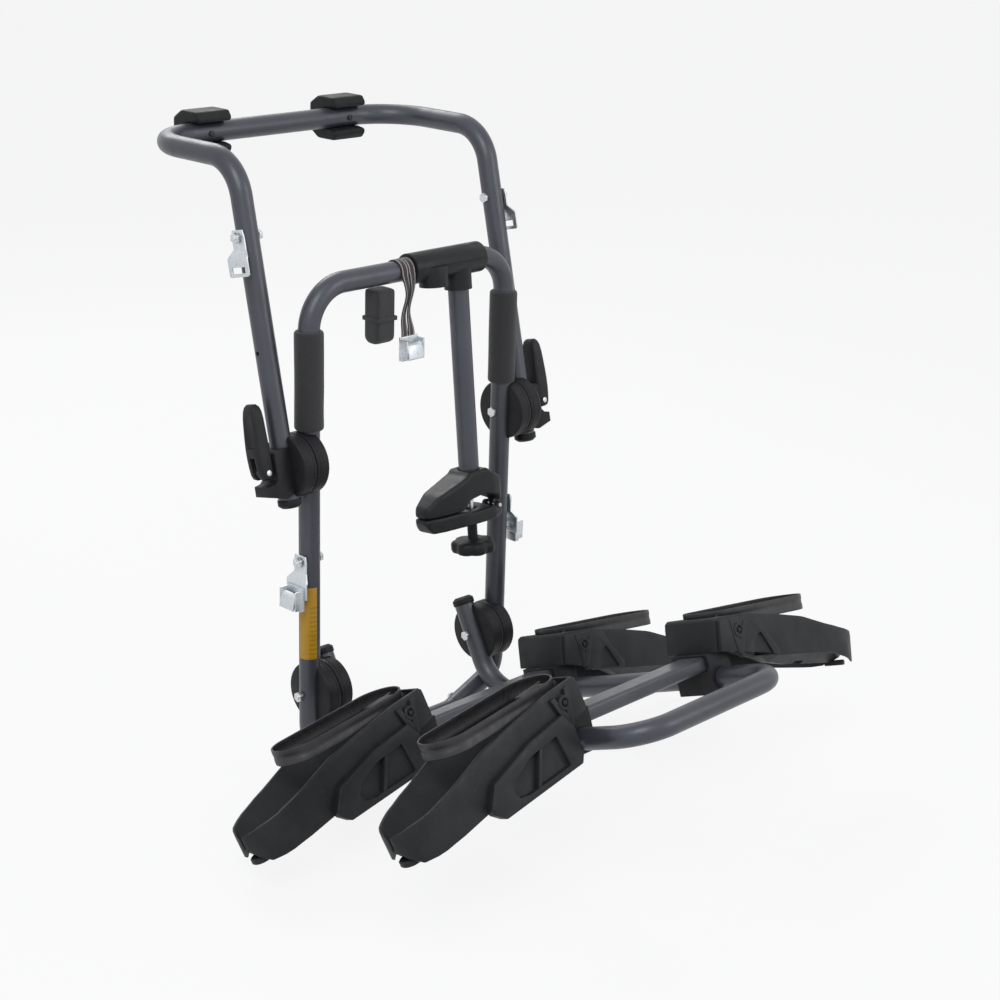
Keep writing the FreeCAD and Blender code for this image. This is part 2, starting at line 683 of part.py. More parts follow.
def tray_saddles():
    """Blocks that hold each tray bar on the platform's side tubes."""
    saddles = []
    for row, out in tray_rows():
        for name, side in SIDES:
            label = f"tray_saddle_{row}_{name}"
            block = box(label, "44", "66", "2 * tube_radius + bar_depth + 7",
                        platform_frame(side * ARM_X, out + num("bar_shift") / 2,
                                       num("(bar_depth - 1) / 2")))
            bed = rod(label + "_bed", "tube_radius + 0.05", platform_frame(side * ARM_X, out).Base,
                      platform_frame().Rotation.multVec(Y_AXIS), "90")
            slot = box(label + "_slot", "80", "bar_width + 0.2", "bar_depth + 0.2",
                       platform_frame(side * ARM_X, out + num("bar_shift"),
                                      num("tube_radius + bar_depth / 2")))
            saddles.append(cut(label, block, bed, slot))
    keep(group("tray_saddles", *saddles), "tray_saddles")


def strap_frame(side, out):
    """The frame of a closed wheel strap: its middle, with +X outboard and Z along its width."""
    turn = FreeCAD.Rotation(Z_AXIS, 0 if side > 0 else 180)
    return platform_frame(side * num("strap_x"), out, num("strap_up"),
                          turn * FreeCAD.Rotation(Y_AXIS, num("strap_tilt")))


def wheel_straps():
    """Rubber wheel straps, closed into an oval over each tray."""
    for row, out in tray_rows():
        for name, side in SIDES:
            label = f"wheel_strap_{row}_{name}"
            frame = strap_frame(side, out)
            outer = stadium(label + "_outer", "strap_half", "strap_side", "strap_band", frame)
            inner = stadium(label + "_inner", "strap_half - strap_thick", "strap_side - strap_thick",
                            "strap_band + 2", frame)
            keep(cut("strap_" + row + "_" + name, outer, inner), label)


def stadium(name, half, side, height, frame):
    """An upright slab with round ends, centred on its frame."""
    run = num(half) - num(side)
    shapes = [box(name + "_run", f"2 * ({half} - ({side}))", f"2 * ({side})", height, frame)]
    up = frame.Rotation.multVec(Z_AXIS)
    for index, x in enumerate((-run, run)):
        shapes.append(rod(f"{name}_end{index}", side, frame.multVec(V(x, 0, 0)), up, height))
    return fuse(name, *shapes)


def ratchet_frame(side, out):
    """Where a ratchet stands at the inboard end of its tray's strap."""
    return tray_placement(side, out) * FreeCAD.Placement(
        V(num("ratchet_x"), num("ratchet_y") * -side, num("ratchet_up")), FreeCAD.Rotation())


def ratchets():
    """The ratchet that closes each wheel strap: a housing and a hinged release lever."""
    housings = []
    for row, out in tray_rows():
        for name, side in SIDES:
            label = f"{row}_{name}"
            frame = ratchet_frame(side, out)
            house = padded("ratchet_house_" + label, [
                ("-24", "-31.9"), ("24", "-31.9"), ("24", "2"), ("16", "8"), ("-18", "8"), ("-24", "0")],
                "28")
            house.Placement = frame * FreeCAD.Placement(V(0, 0, 0), FreeCAD.Rotation(X_AXIS, 90))
            slot = box("ratchet_slot_" + label, "60", "18", "20",
                       frame * FreeCAD.Placement(V(6, 0, 2), FreeCAD.Rotation()))
            pin = rod("ratchet_pin_" + label, "2.5", frame.multVec(V(-8, 0, 3)),
                      frame.Rotation.multVec(Y_AXIS), "27")
            strap = strap_frame(side, out)
            passage = cut("passage_" + label,
                          stadium("passage_outer_" + label, "strap_half + 0.3", "strap_side + 0.3",
                                  "strap_band + 0.8", strap),
                          stadium("passage_inner_" + label, "strap_half - strap_thick - 0.3",
                                  "strap_side - strap_thick - 0.3", "strap_band + 3", strap))
            case = cut("ratchet_case_" + label, house, slot, passage)
            housings.append(fuse("ratchet_" + label, case, pin))
            lever = padded("ratchet_paddle_" + label, [
                ("-14", "0"), ("-11", "8"), ("4", "11"), ("34", "12"), ("36", "8"), ("6", "6"),
                ("-3", "-1"), ("-8", "-3")], "17.2")
            lever.Placement = house.Placement
            bore = rod("ratchet_bore_" + label, "2.6", frame.multVec(V(-8, 0, 3)),
                       frame.Rotation.multVec(Y_AXIS), "40")
            keep(cut("ratchet_arm_" + label, lever, bore), "ratchet_lever_" + label)
    keep(group("ratchet_housings", *housings), "ratchet_housings")


# ---------------------------------------------------------------- frame holder


def holder_frame(along=0, x=0, y=0, spin=None):
    """A placement down the holder's post, from the middle of the frame's top bar."""
    lean = FreeCAD.Rotation(X_AXIS, -num("holder_lean"))
    top = FreeCAD.Placement(at(num("holder_x"), 0, num("cross_up")), lean)
    return top * FreeCAD.Placement(V(x, y, -along), spin or FreeCAD.Rotation())


def holder_bracket():
    """Two plastic half shells around the top bar, with the screws that close them."""
    centre = (num("bracket_from") + num("bracket_to")) / 2 - num("holder_x")
    length = "bracket_to - bracket_from"
    frame = holder_frame()
    barrel_at = frame.multVec(V(centre, 0, 0))
    bar_hole = ("tube_radius + 0.1", barrel_at, X_AXIS, "260")
    for half, sign in (("upper", 1), ("lower", -1)):
        barrel = rod("barrel_" + half, "bracket_radius", barrel_at, X_AXIS, length)
        shapes = [barrel]
        if half == "lower":
            shapes.append(rod("bracket_collar", "post_radius + 5", frame.multVec(V(0, 0, -24)),
                              frame.Rotation.multVec(Z_AXIS), "34"))
            shapes.append(rod("bracket_lobe", "21", frame.multVec(V(num("34 - holder_x"), -8, -14)),
                              frame.Rotation.multVec(Z_AXIS), "30"))
        keeper = box("keeper_" + half, "300", "120", "90", holder_frame(-sign * 45.15, centre))
        body = common("bracket_" + half, fuse("bracket_body_" + half, *shapes), keeper)
        tools = [rod("bar_hole_" + half, *bar_hole)]
        for index, x in enumerate(BRACKET_SCREWS):
            tools.append(rod(f"screw_hole_{half}_{index}", "2.1", frame.multVec(V(x, 18.4, 0)),
                             frame.Rotation.multVec(Z_AXIS), "80"))
        if half == "lower":
            tools.append(rod("post_socket", "post_radius + 0.05", frame.multVec(V(0, 0, -60)),
                             frame.Rotation.multVec(Z_AXIS), "86"))
        keep(cut("holder_" + half, body, *tools), "holder_bracket_" + half)
    screws = []
    for index, x in enumerate(BRACKET_SCREWS):
        screws.append(rod(f"bracket_screw_{index}", "2", frame.multVec(V(x, 18.4, 0)),
                          frame.Rotation.multVec(Z_AXIS), "22"))
    keep(group("bracket_screws", *screws), "bracket_screws")


def holder_post():
    frame = holder_frame(num("post_length"))
    body = revolved("post", [
        ("post_radius - tube_wall", "0"), ("post_radius", "0"),
        ("post_radius", "post_length - 19"), ("post_radius - tube_wall", "post_length - 19")])
    keep(body, "holder_post", frame)


def jaws():
    """The clamp on the post's foot: a fixed upper jaw and a hinged lower jaw on a knob's stud."""
    frame = holder_frame(num("post_length") + 1.1)
    stand = frame * FreeCAD.Placement(V(0, 0, 0), FreeCAD.Rotation(X_AXIS, 90))
    upper = padded("upper_jaw_block", [
        ("-jaw_left", "-32"), ("-jaw_left + 4", "-22"), ("-78", "-6"), ("-24", "12"), ("-18", "18"),
        ("18", "18"), ("24", "12"), ("44", "2"), ("jaw_right", "-16"), ("jaw_right", "-42"),
        ("42", "-42"), ("34", "-27"), ("8", "-20"), ("-20", "-24"), ("-34", "-37.2"),
        ("-jaw_left + 2", "-37.2")], "2 * jaw_half")
    upper.Placement = stand
    outline_points = [
        ("-jaw_left", "-9"), ("-jaw_left + 6", "-15"), ("-74", "-20.5"), ("-30", "-jaw_half"),
        ("28", "-jaw_half"), ("jaw_right - 6", "-20"), ("jaw_right", "-14"), ("jaw_right", "14"),
        ("jaw_right - 6", "20"), ("28", "jaw_half"), ("-30", "jaw_half"), ("-74", "20.5"),
        ("-jaw_left + 6", "15"), ("-jaw_left", "9")]
    plans = []
    for half in ("upper", "lower"):
        plan = padded(half + "_jaw_plan", outline_points, "200")
        plan.Placement = frame
        plans.append(plan)
    lower = padded("lower_jaw_block", [
        ("-jaw_left", "-42"), ("-jaw_left + 2", "-37.8"), ("-34", "-37.8"), ("-20", "-42"),
        ("30", "-42"), ("36", "-49"), ("jaw_right", "-49"), ("jaw_right - 3", "-58"), ("20", "-62"),
        ("-92", "-60"), ("-jaw_left + 6", "-52")], "2 * jaw_half")
    lower.Placement = stand
    socket = rod("jaw_socket", "post_radius + 0.05", frame.multVec(V(0, 0, 22)),
                 frame.Rotation.multVec(Z_AXIS), "42")
    stud_hole = rod("stud_hole", "stud_radius + 0.05", frame.multVec(V(0, 0, -40)),
                    frame.Rotation.multVec(Z_AXIS), "100")
    pin_at = frame.multVec(V(num("jaw_right - 6"), 0, -45.4))
    across = frame.Rotation.multVec(Y_AXIS)
    ear_gap = box("ear_gap", "30", "80", "16",
                  frame * FreeCAD.Placement(V(num("jaw_right - 2"), 0, -45), FreeCAD.Rotation()))
    pin_hole = rod("upper_pin_hole", "3.05", pin_at, across, "80")
    upper_plan = common("upper_jaw_shaped", upper, plans[0])
    upper_body = fuse("upper_jaw_body", cut("upper_jaw_cut", upper_plan, ear_gap), ear_block(frame))
    keep(cut("upper_jaw", upper_body, socket, stud_hole, pin_hole), "holder_upper_jaw")
    slot = FreeCAD.Placement(V(0, 0, -52), FreeCAD.Rotation())
    lower_slot = box("lower_slot", "18", "9", "60", frame * slot)
    fork = box("lower_fork", "28", "8.6", "40",
               frame * FreeCAD.Placement(V(num("jaw_right - 2"), 0, -46), FreeCAD.Rotation()))
    lower_hole = rod("lower_pin_hole", "3.1", pin_at, across, "80")
    cheeks = [rod(f"cheek_{sign}", "6", pin_at + across * (sign * 12), across, "11")
              for sign in (-1, 1)]
    lower_body = fuse("lower_jaw_body", common("lower_jaw_shaped", lower, plans[1]), *cheeks)
    keep(cut("lower_jaw", lower_body, lower_slot, fork, lower_hole), "holder_lower_jaw")
    keep(rod("jaw_pin_rod", "3", pin_at, across, "34"), "jaw_pin")
    stud = rod("stud_rod", "stud_radius", frame.multVec(V(0, 0, -52)),
               frame.Rotation.multVec(Z_AXIS), "108")
    keep(stud, "clamp_stud")
    washer = revolved("washer_body", [
        ("stud_radius + 0.1", "0"), ("11", "0"), ("11", "3"), ("stud_radius + 0.1", "3")])
    keep(washer, "knob_washer", frame * FreeCAD.Placement(V(0, 0, -65.4), FreeCAD.Rotation()))
    knob_body = revolved("knob_body", [
        ("stud_radius + 0.1", "0"), ("7.5", "0"), ("7.5", "-24"), ("knob_radius - 6", "-24"),
        ("knob_radius", "-29"), ("knob_radius", "-38"), ("knob_radius - 7", "-44"), ("0", "-44"),
        ("0", "-41"), ("stud_radius + 0.1", "-41")])
    keep(knob_body, "clamp_knob", frame * FreeCAD.Placement(V(0, 0, -66), FreeCAD.Rotation()))


def ear_block(frame):
    """The upper jaw's tongue, which carries the hinge pin between the lower jaw's cheeks."""
    place = FreeCAD.Placement(V(num("jaw_right - 6"), 0, -41), FreeCAD.Rotation())
    tongue = box("tongue", "11", "8", "22", frame * place)
    return tongue


# ---------------------------------------------------------------- webbing fittings


def plate_frame(side, centre, down, width_way):
    """On the outer side of a tube: +X out of the plate, +Z up along it."""
    out = X_AXIS * side
    return FreeCAD.Placement(centre + out * num("tube_radius"),
                             FreeCAD.Rotation(out, width_way * side, down * -1, "XZY"))


def strap_plate(name, frame):
    """A pressed zinc plate, joggled clear of the tube, with a bolt hole and a webbing slot."""
    front = padded(name + "_front", [
        ("-11", "10"), ("11", "10"), ("13", "0"), ("13", "-16"), ("plate_width / 2", "-26"),
        ("plate_width / 2", "12 - plate_length"), ("plate_width / 2 - 3", "10 - plate_length"),
        ("3 - plate_width / 2", "10 - plate_length"), ("-plate_width / 2", "12 - plate_length"),
        ("-plate_width / 2", "-26"), ("-13", "-16"), ("-13", "0")], "60",
        holes=(("0", "0", "4.2"),))
    face = FreeCAD.Rotation(Y_AXIS, Z_AXIS, X_AXIS, "ZXY")
    front.Placement = frame * FreeCAD.Placement(V(0, 0, 0), face)
    side = padded(name + "_side", [
        ("0.2", "12"), ("plate_thick + 0.2", "12"), ("plate_thick + 0.2", "-15"),
        ("joggle + plate_thick", "-27"), ("joggle + plate_thick", "8 - plate_length"),
        ("joggle", "8 - plate_length"), ("joggle", "-28"), ("0.2", "-16")], "80")
    side.Placement = frame * FreeCAD.Placement(V(0, 0, 0), FreeCAD.Rotation(X_AXIS, 90))
    slot = box(name + "_slot", "40", "webbing + 2", "8",
               frame * FreeCAD.Placement(V(0, 0, num("19 - plate_length")), FreeCAD.Rotation()))
    return cut(name, common(name + "_pressed", front, side), slot)


def cam_buckle(name, frame):
    """The body of a webbing buckle: two cheeks joined by a base and a bar."""
    parts = [box(name + "_base", "2", "34", "34", frame * FreeCAD.Placement(V(1, 0, 0), FreeCAD.Rotation()))]
    for sign in (-1, 1):
        parts.append(box(f"{name}_cheek{sign}", "16", "2", "28",
                         frame * FreeCAD.Placement(V(8, sign * 16, 0), FreeCAD.Rotation())))
    for index, (x, z) in enumerate(((10, 5), (6, -15))):
        parts.append(rod(f"{name}_bar{index}", "2", frame.multVec(V(x, 0, z)),
                         frame.Rotation.multVec(Y_AXIS), "34"))
    return fuse(name, *parts)


def cam_buckle_lever(name, frame):
    """The toothed cam and its thumb tab, on the buckle's bar."""
    lever = padded(name, [
        ("5.5", "-2"), ("4.5", "5"), ("10", "10"), ("15", "6"), ("19", "-12"), ("17", "-14"),
        ("13", "-2")], "28.6")
    lever.Placement = frame * FreeCAD.Placement(V(0, 0, 0), FreeCAD.Rotation(X_AXIS, 90))
    hole = rod(name + "_hole", "2.1", frame.multVec(V(10, 0, 5)), frame.Rotation.multVec(Y_AXIS), "60")
    return cut(name, lever, hole)


def leg_fittings():
    plates, bolts, buckles = [], [], []
    for name, side in SIDES:
        frame = plate_frame(side, at(side * LEG, 0, num("plate_up")), Z_AXIS * -1, Y_AXIS)
        plates.append(strap_plate("leg_plate_" + name, frame))
        start = at(side * (LEG - num("tube_radius")), 0, num("plate_up"))
        bolts.append(hex_bolt("leg_bolt_" + name, start, X_AXIS * side, "bolt_radius",
                              "2 * tube_radius + 11", "head_radius", "head_height"))
        hung = frame * FreeCAD.Placement(V(num("joggle + plate_thick") + 0.2, 0, -50), FreeCAD.Rotation())
        buckles.append(cam_buckle("leg_buckle_" + name, hung))
        keep(cam_buckle_lever("leg_lever_" + name, hung), "leg_buckle_lever_" + name)
    keep(group("leg_strap_plates", *plates), "leg_strap_plates")
    keep(group("leg_plate_bolts", *bolts), "leg_plate_bolts")
    keep(group("leg_buckles", *buckles), "leg_buckles")


def bow_fittings():
    plates, bolts = [], []
    for name, side in SIDES:
        centre = at(side * BOW_X, 0, UP) + BOW_DIRECTION * num("bow_plate_up")
        frame = plate_frame(side, centre, BOW_DIRECTION * -1, BOW_ACROSS)
        plates.append(strap_plate("bow_plate_" + name, frame))
        start = centre - X_AXIS * side * num("tube_radius")
        bolts.append(hex_bolt("bow_bolt_" + name, start, X_AXIS * side, "bolt_radius",
                              "2 * tube_radius + 11", "head_radius", "head_height"))
    keep(group("bow_strap_plates", *plates), "bow_strap_plates")
    keep(group("bow_plate_bolts", *bolts), "bow_plate_bolts")


def label():
    """A plain sticker part way round the left leg."""
    outer = rod("label_outer", "tube_radius + 0.4", at(-LEG, 0, 112), Z_AXIS, "108")
    bore = rod("label_bore", "tube_radius + 0.05", at(-LEG, 0, 112), Z_AXIS, "120")
    turned = FreeCAD.Placement(at(-LEG, 0, 112), FreeCAD.Rotation(Z_AXIS, -50))
    window = box("label_window", "24", "60", "130", turned * FreeCAD.Placement(V(0, -30, 0), FreeCAD.Rotation()))
    keep(common("leg_label", cut("label_sleeve", outer, bore), window), "leg_label")


def tie_strap():
    """The spare webbing strap that is stored on the top bar: a loop, its roll and its buckle."""
    x, z = num("tie_x"), num("cross_up")
    skin = "tube_radius + 0.3"
    loop = cut("tie_loop", rod("loop_outer", skin + " + 2", at(x, 0, z), X_AXIS, "webbing"),
               rod("loop_bore", skin, at(x, 0, z), X_AXIS, "60"))
    strands = []
    for index, (y, top) in enumerate(((-16.3, 0), (-13.9, -9))):
        strands.append(box(f"strand_{index}", "webbing", "1.8", f"92 + {top}",
                           FreeCAD.Placement(at(x, y, z - 46 + top / 2), FreeCAD.Rotation())))
    keep(fuse("webbing_loop", loop, *strands), "webbing_loop")
    roll_at = at(x - 34, 4, z - 62)
    roll = padded("roll_body", [
        ("-15", "-30"), ("-8", "-36"), ("8", "-36"), ("15", "-30"), ("15", "42"), ("-15", "42")], "34")
    roll.Placement = FreeCAD.Placement(roll_at, FreeCAD.Rotation(Y_AXIS, Z_AXIS, X_AXIS, "ZXY"))
    keep(roll, "webbing_roll")
    band = cut("roll_band", box("band_outer", "36.4", "32.4", "6", FreeCAD.Placement(roll_at, FreeCAD.Rotation())),
               box("band_inner", "34.4", "30.4", "10", FreeCAD.Placement(roll_at, FreeCAD.Rotation())))
    keep(band, "roll_band")
    frame = FreeCAD.Placement(at(x, -17.5, z - 106),
                              FreeCAD.Rotation(Y_AXIS * -1, X_AXIS, Z_AXIS, "XZY"))
    keep(cam_buckle("tie_buckle_body", frame), "tie_buckle")
    keep(cam_buckle_lever("tie_lever_body", frame), "tie_buckle_lever")


def main():
    main_frame()
    bottom_bar()
    frame_bolts()
    foam_sleeves()
    hinges()
    bow()
    rest_pads()
    cam_levers()
    platform_tube()
    tray_bars()
    wheel_trays()
    tray_saddles()
    wheel_straps()
    ratchets()
    holder_bracket()
    holder_post()
    jaws()
    leg_fittings()
    bow_fittings()
    label()
    tie_strap()


def check_and_write():
    doc.recompute()
    for item in doc.Objects:
        if "Invalid" in item.State or "Error" in item.State:
            raise RuntimeError(f"{item.Label} failed: {item.State}")
    os.makedirs("parts", exist_ok=True)
    for piece in pieces:
        shape = piece.Shape
        if shape.isNull() or not shape.isValid():
            raise RuntimeError(f"{piece.Label} has no valid shape")
        shape.exportStep(f"parts/{piece.Label}.step")
        print(piece.Label, len(shape.Solids), "solids", round(shape.Volume / 1000, 1), "cm3")


main()
check_and_write()
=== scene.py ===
import json
import math

import bmesh
import bpy
from mathutils import Matrix, Vector, noise

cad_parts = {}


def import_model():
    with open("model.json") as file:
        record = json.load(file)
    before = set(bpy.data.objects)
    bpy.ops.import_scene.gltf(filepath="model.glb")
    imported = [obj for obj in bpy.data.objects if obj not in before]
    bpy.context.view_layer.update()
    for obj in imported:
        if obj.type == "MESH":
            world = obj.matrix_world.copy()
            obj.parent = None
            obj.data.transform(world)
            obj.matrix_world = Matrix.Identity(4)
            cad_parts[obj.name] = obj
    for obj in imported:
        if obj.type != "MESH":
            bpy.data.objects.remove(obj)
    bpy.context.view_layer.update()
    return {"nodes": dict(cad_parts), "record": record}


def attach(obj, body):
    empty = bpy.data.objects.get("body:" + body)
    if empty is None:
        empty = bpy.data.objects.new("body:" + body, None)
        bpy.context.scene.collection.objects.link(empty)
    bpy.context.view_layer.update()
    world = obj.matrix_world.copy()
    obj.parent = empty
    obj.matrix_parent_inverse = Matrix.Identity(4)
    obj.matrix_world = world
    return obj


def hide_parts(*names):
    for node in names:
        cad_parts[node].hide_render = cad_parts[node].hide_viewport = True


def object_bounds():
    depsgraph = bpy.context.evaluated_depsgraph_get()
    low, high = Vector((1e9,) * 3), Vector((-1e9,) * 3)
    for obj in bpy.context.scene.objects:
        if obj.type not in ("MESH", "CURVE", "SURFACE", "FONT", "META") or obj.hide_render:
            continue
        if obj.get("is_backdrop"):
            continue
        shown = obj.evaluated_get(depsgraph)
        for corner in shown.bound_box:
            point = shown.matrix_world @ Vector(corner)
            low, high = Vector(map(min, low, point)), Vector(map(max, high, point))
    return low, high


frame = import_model()
nodes = frame["nodes"]
behaviour = frame["record"]["behaviour"]
BODY = {node: body for body, members in behaviour["bodies"].items() for node in members}
SLOT = {part["node"]: part["material_slot"] for part in frame["record"]["subparts"]}
SCENE = bpy.context.scene

# Lengths in this script are millimetres until a mesh is made. FRAME_Y and HINGE_Z place the lower
# hinge axis in the row frame.
MM = 0.001
FRAME_Y, HINGE_Z = -20.5, -462.5
LEG_X, BOW_X, ARM_X = 188.0, 232.6, 143.4
UP, CROSS_UP = 348.5, 590.0
TUBE = 15.0
SIDES = (("left", -1), ("right", 1))
ROWS = (("inner", 112.0), ("outer", 412.0))
LEAN = math.radians(13.2)
BOW_DIRECTION = Vector((0, math.sin(LEAN), math.cos(LEAN)))
BOW_ACROSS = Vector((0, math.cos(LEAN), -math.sin(LEAN)))
ARM_RISE = Vector((0, math.cos(math.radians(62)), math.sin(math.radians(62))))
# Where the trays and their straps sit on the platform: across, up, and the tilt of each outer end.
TRAY_X, TRAY_UP, TRAY_TILT = 141, 77.5, 12.4
STRAP_X, STRAP_UP, STRAP_TILT = 259, 66, 7


def at(x, y, z):
    return Vector((x, FRAME_Y + y, HINGE_Z + z))


# ---------------------------------------------------------------- materials


class Nodes:
    """A material's node tree with short calls for the nodes used here."""

    def __init__(self, name):
        self.material = bpy.data.materials.new(name)
        self.material.use_nodes = True
        self.tree = self.material.node_tree
        self.shader = self.tree.nodes["Principled BSDF"]
        self.coords = self.new("ShaderNodeTexCoord").outputs["Object"]

    def new(self, kind, **values):
        node = self.tree.nodes.new(kind)
        for key, value in values.items():
            setattr(node, key, value)
        return node

    def link(self, start, end):
        self.tree.links.new(start, end)

    def noise(self, scale, detail=3.0, stretch=None):
        node = self.new("ShaderNodeTexNoise")
        node.inputs["Scale"].default_value = scale
        node.inputs["Detail"].default_value = detail
        source = self.coords
        if stretch:
            mapping = self.new("ShaderNodeMapping")
            mapping.inputs["Scale"].default_value = stretch
            self.link(source, mapping.inputs["Vector"])
            source = mapping.outputs["Vector"]
        self.link(source, node.inputs["Vector"])
        return node.outputs["Fac"]

    def cells(self, scale):
        node = self.new("ShaderNodeTexVoronoi")
        node.inputs["Scale"].default_value = scale
        self.link(self.coords, node.inputs["Vector"])
        return node.outputs["Distance"]

    def ramp(self, source, stops):
        node = self.new("ShaderNodeValToRGB")
        ends = node.color_ramp.elements
        for index, (place, color) in enumerate(stops):
            stop = ends[index] if index < 2 else ends.new(place)
            stop.position = place
            stop.color = (*color, 1)
        self.link(source, node.inputs["Fac"])
        return node.outputs["Color"]

    def spread(self, source, low, high, start=0.3, end=0.7):
        node = self.new("ShaderNodeMapRange")
        for name, value in (("From Min", start), ("From Max", end), ("To Min", low),
                            ("To Max", high)):
            node.inputs[name].default_value = value
        self.link(source, node.inputs["Value"])
        return node.outputs["Result"]

    def math(self, operation, first, second=None):
        node = self.new("ShaderNodeMath", operation=operation)
        for index, value in enumerate((first, second)):
            if value is None:
                continue
            if isinstance(value, (int, float)):
                node.inputs[index].default_value = value
            else:
                self.link(value, node.inputs[index])
        return node.outputs[0]

    def mix(self, factor, first, second):
        node = self.new("ShaderNodeMix", data_type="RGBA")
        self.link(factor, node.inputs["Factor"])
        for name, value in (("A", first), ("B", second)):
            socket = [s for s in node.inputs if s.name == name and s.type == "RGBA"][0]
            if isinstance(value, tuple):
                socket.default_value = (*value, 1)
            else:
                self.link(value, socket)
        return [s for s in node.outputs if s.type == "RGBA"][0]

    def bump(self, layers):
        """Layers of (height, strength, depth in millimetres)."""
        normal = None
        for height, strength, depth in layers:
            node = self.new("ShaderNodeBump")
            node.inputs["Strength"].default_value = strength
            node.inputs["Distance"].default_value = depth * MM
            self.link(height, node.inputs["Height"])
            if normal is not None:
                self.link(normal, node.inputs["Normal"])
            normal = node.outputs["Normal"]
        self.link(normal, self.shader.inputs["Normal"])


def tint(color, factor):
    return tuple(min(1.0, c * factor) for c in color)


def moulded(name, color, rough, grain=1500, depth=0.12, scuffs=0.35):
    """Moulded plastic: fine spark-eroded grain, soft flow marks and a few paler scuffs."""
    m = Nodes(name)
    flow = m.noise(22, 4)
    body = m.ramp(flow, ((0.3, tint(color, 0.8)), (0.7, tint(color, 1.25))))
    scuff = m.spread(m.noise(160, 6, (1, 0.35, 1)), 0, scuffs, 0.62, 0.8)
    m.link(m.mix(scuff, body, tint(color, 2.4)), m.shader.inputs["Base Color"])
    m.link(m.spread(m.noise(60, 5), rough - 0.07, rough + 0.08), m.shader.inputs["Roughness"])
    m.shader.inputs["Specular IOR Level"].default_value = 0.2
    m.bump(((m.noise(grain, 2), 0.5, depth), (m.noise(45, 2), 0.2, 0.25)))
    return m.material


def powder_coat(name, color, rough):
    """Satin powder coat: orange peel, a trace of metallic fleck and dusty paler patches."""
    m = Nodes(name)
    fleck = m.spread(m.cells(1900), 0.35, 0, 0.0, 0.35)
    body = m.ramp(m.noise(14, 4), ((0.3, tint(color, 0.85)), (0.7, tint(color, 1.18))))
    m.link(m.mix(fleck, body, tint(color, 1.9)), m.shader.inputs["Base Color"])
    m.link(m.spread(m.noise(70, 6), rough - 0.06, rough + 0.07), m.shader.inputs["Roughness"])
    m.shader.inputs["Metallic"].default_value = 0.25
    m.shader.inputs["Coat Weight"].default_value = 0.25
    m.shader.inputs["Coat Roughness"].default_value = 0.3
    m.bump(((m.noise(620, 2), 0.35, 0.1), (m.noise(2200, 2), 0.25, 0.05)))
    return m.material


def foam(name):
    m = Nodes(name)
    pores = m.cells(820)
    m.link(m.ramp(pores, ((0.05, (0.010, 0.010, 0.011)), (0.5, (0.026, 0.026, 0.028)))),
           m.shader.inputs["Base Color"])
    m.shader.inputs["Roughness"].default_value = 0.88
    m.shader.inputs["Sheen Weight"].default_value = 0.25
    m.shader.inputs["Sheen Roughness"].default_value = 0.5
    m.bump(((pores, 0.8, 0.5), (m.noise(90, 3), 0.4, 0.6)))
    return m.material


def rubber(name):
    m = Nodes(name)
    body = m.ramp(m.noise(30, 5), ((0.3, (0.015, 0.015, 0.017)), (0.75, (0.032, 0.032, 0.035))))
    m.link(body, m.shader.inputs["Base Color"])
    m.link(m.spread(m.noise(110, 4), 0.42, 0.6), m.shader.inputs["Roughness"])
    m.bump(((m.noise(1400, 2), 0.4, 0.08),))
    return m.material


def zinc(name, color, rough, brush=(1, 1, 14)):
    """Zinc plate: spangled grey with fine drawn lines and dull spots."""
    m = Nodes(name)
    spangle = m.cells(260)
    body = m.ramp(spangle, ((0.1, tint(color, 0.92)), (0.6, tint(color, 1.04))))
    dull = m.spread(m.noise(120, 5), 0, 0.5, 0.58, 0.72)
    m.link(m.mix(dull, body, tint(color, 0.55)), m.shader.inputs["Base Color"])
    m.shader.inputs["Metallic"].default_value = 0.92
    m.link(m.spread(m.noise(90, 6), rough - 0.08, rough + 0.14), m.shader.inputs["Roughness"])
    m.bump(((m.noise(500, 3, brush), 0.35, 0.06),))
    return m.material


def woven(name, striped=False):
    """Narrow webbing: a plain weave. A striped strip has a pale and a rust stripe near each edge.

    The strip is measured across and along by its UVs, other pieces along X and Z.
    """
    m = Nodes(name)
    split = m.new("ShaderNodeSeparateXYZ")
    m.link(m.new("ShaderNodeTexCoord").outputs["UV"] if striped else m.coords, split.inputs[0])
    warp = m.math("SINE", m.math("MULTIPLY", split.outputs["X"], 5200.0))
    weft = m.math("SINE", m.math("MULTIPLY", split.outputs["Y" if striped else "Z"], 3600.0))
    weave = m.math("MULTIPLY", warp, weft)
    color = m.ramp(m.spread(weave, 0, 1, -1, 1),
                   ((0.1, (0.009, 0.009, 0.010)), (0.9, (0.034, 0.034, 0.037))))
    if striped:
        across = m.math("ABSOLUTE", split.outputs["X"])
        for near, far, stripe in ((3.4, 4.8, (0.42, 0.42, 0.43)), (4.8, 5.7, (0.16, 0.035, 0.028))):
            within = m.math("MULTIPLY", m.math("GREATER_THAN", across, near * MM),
                            m.math("LESS_THAN", across, far * MM))
            color = m.mix(within, color, stripe)
    m.link(color, m.shader.inputs["Base Color"])
    m.shader.inputs["Roughness"].default_value = 0.82
    m.shader.inputs["Sheen Weight"].default_value = 0.3
    m.bump(((weave, 0.6, 0.25), (m.noise(900, 3), 0.3, 0.1)))
    return m.material


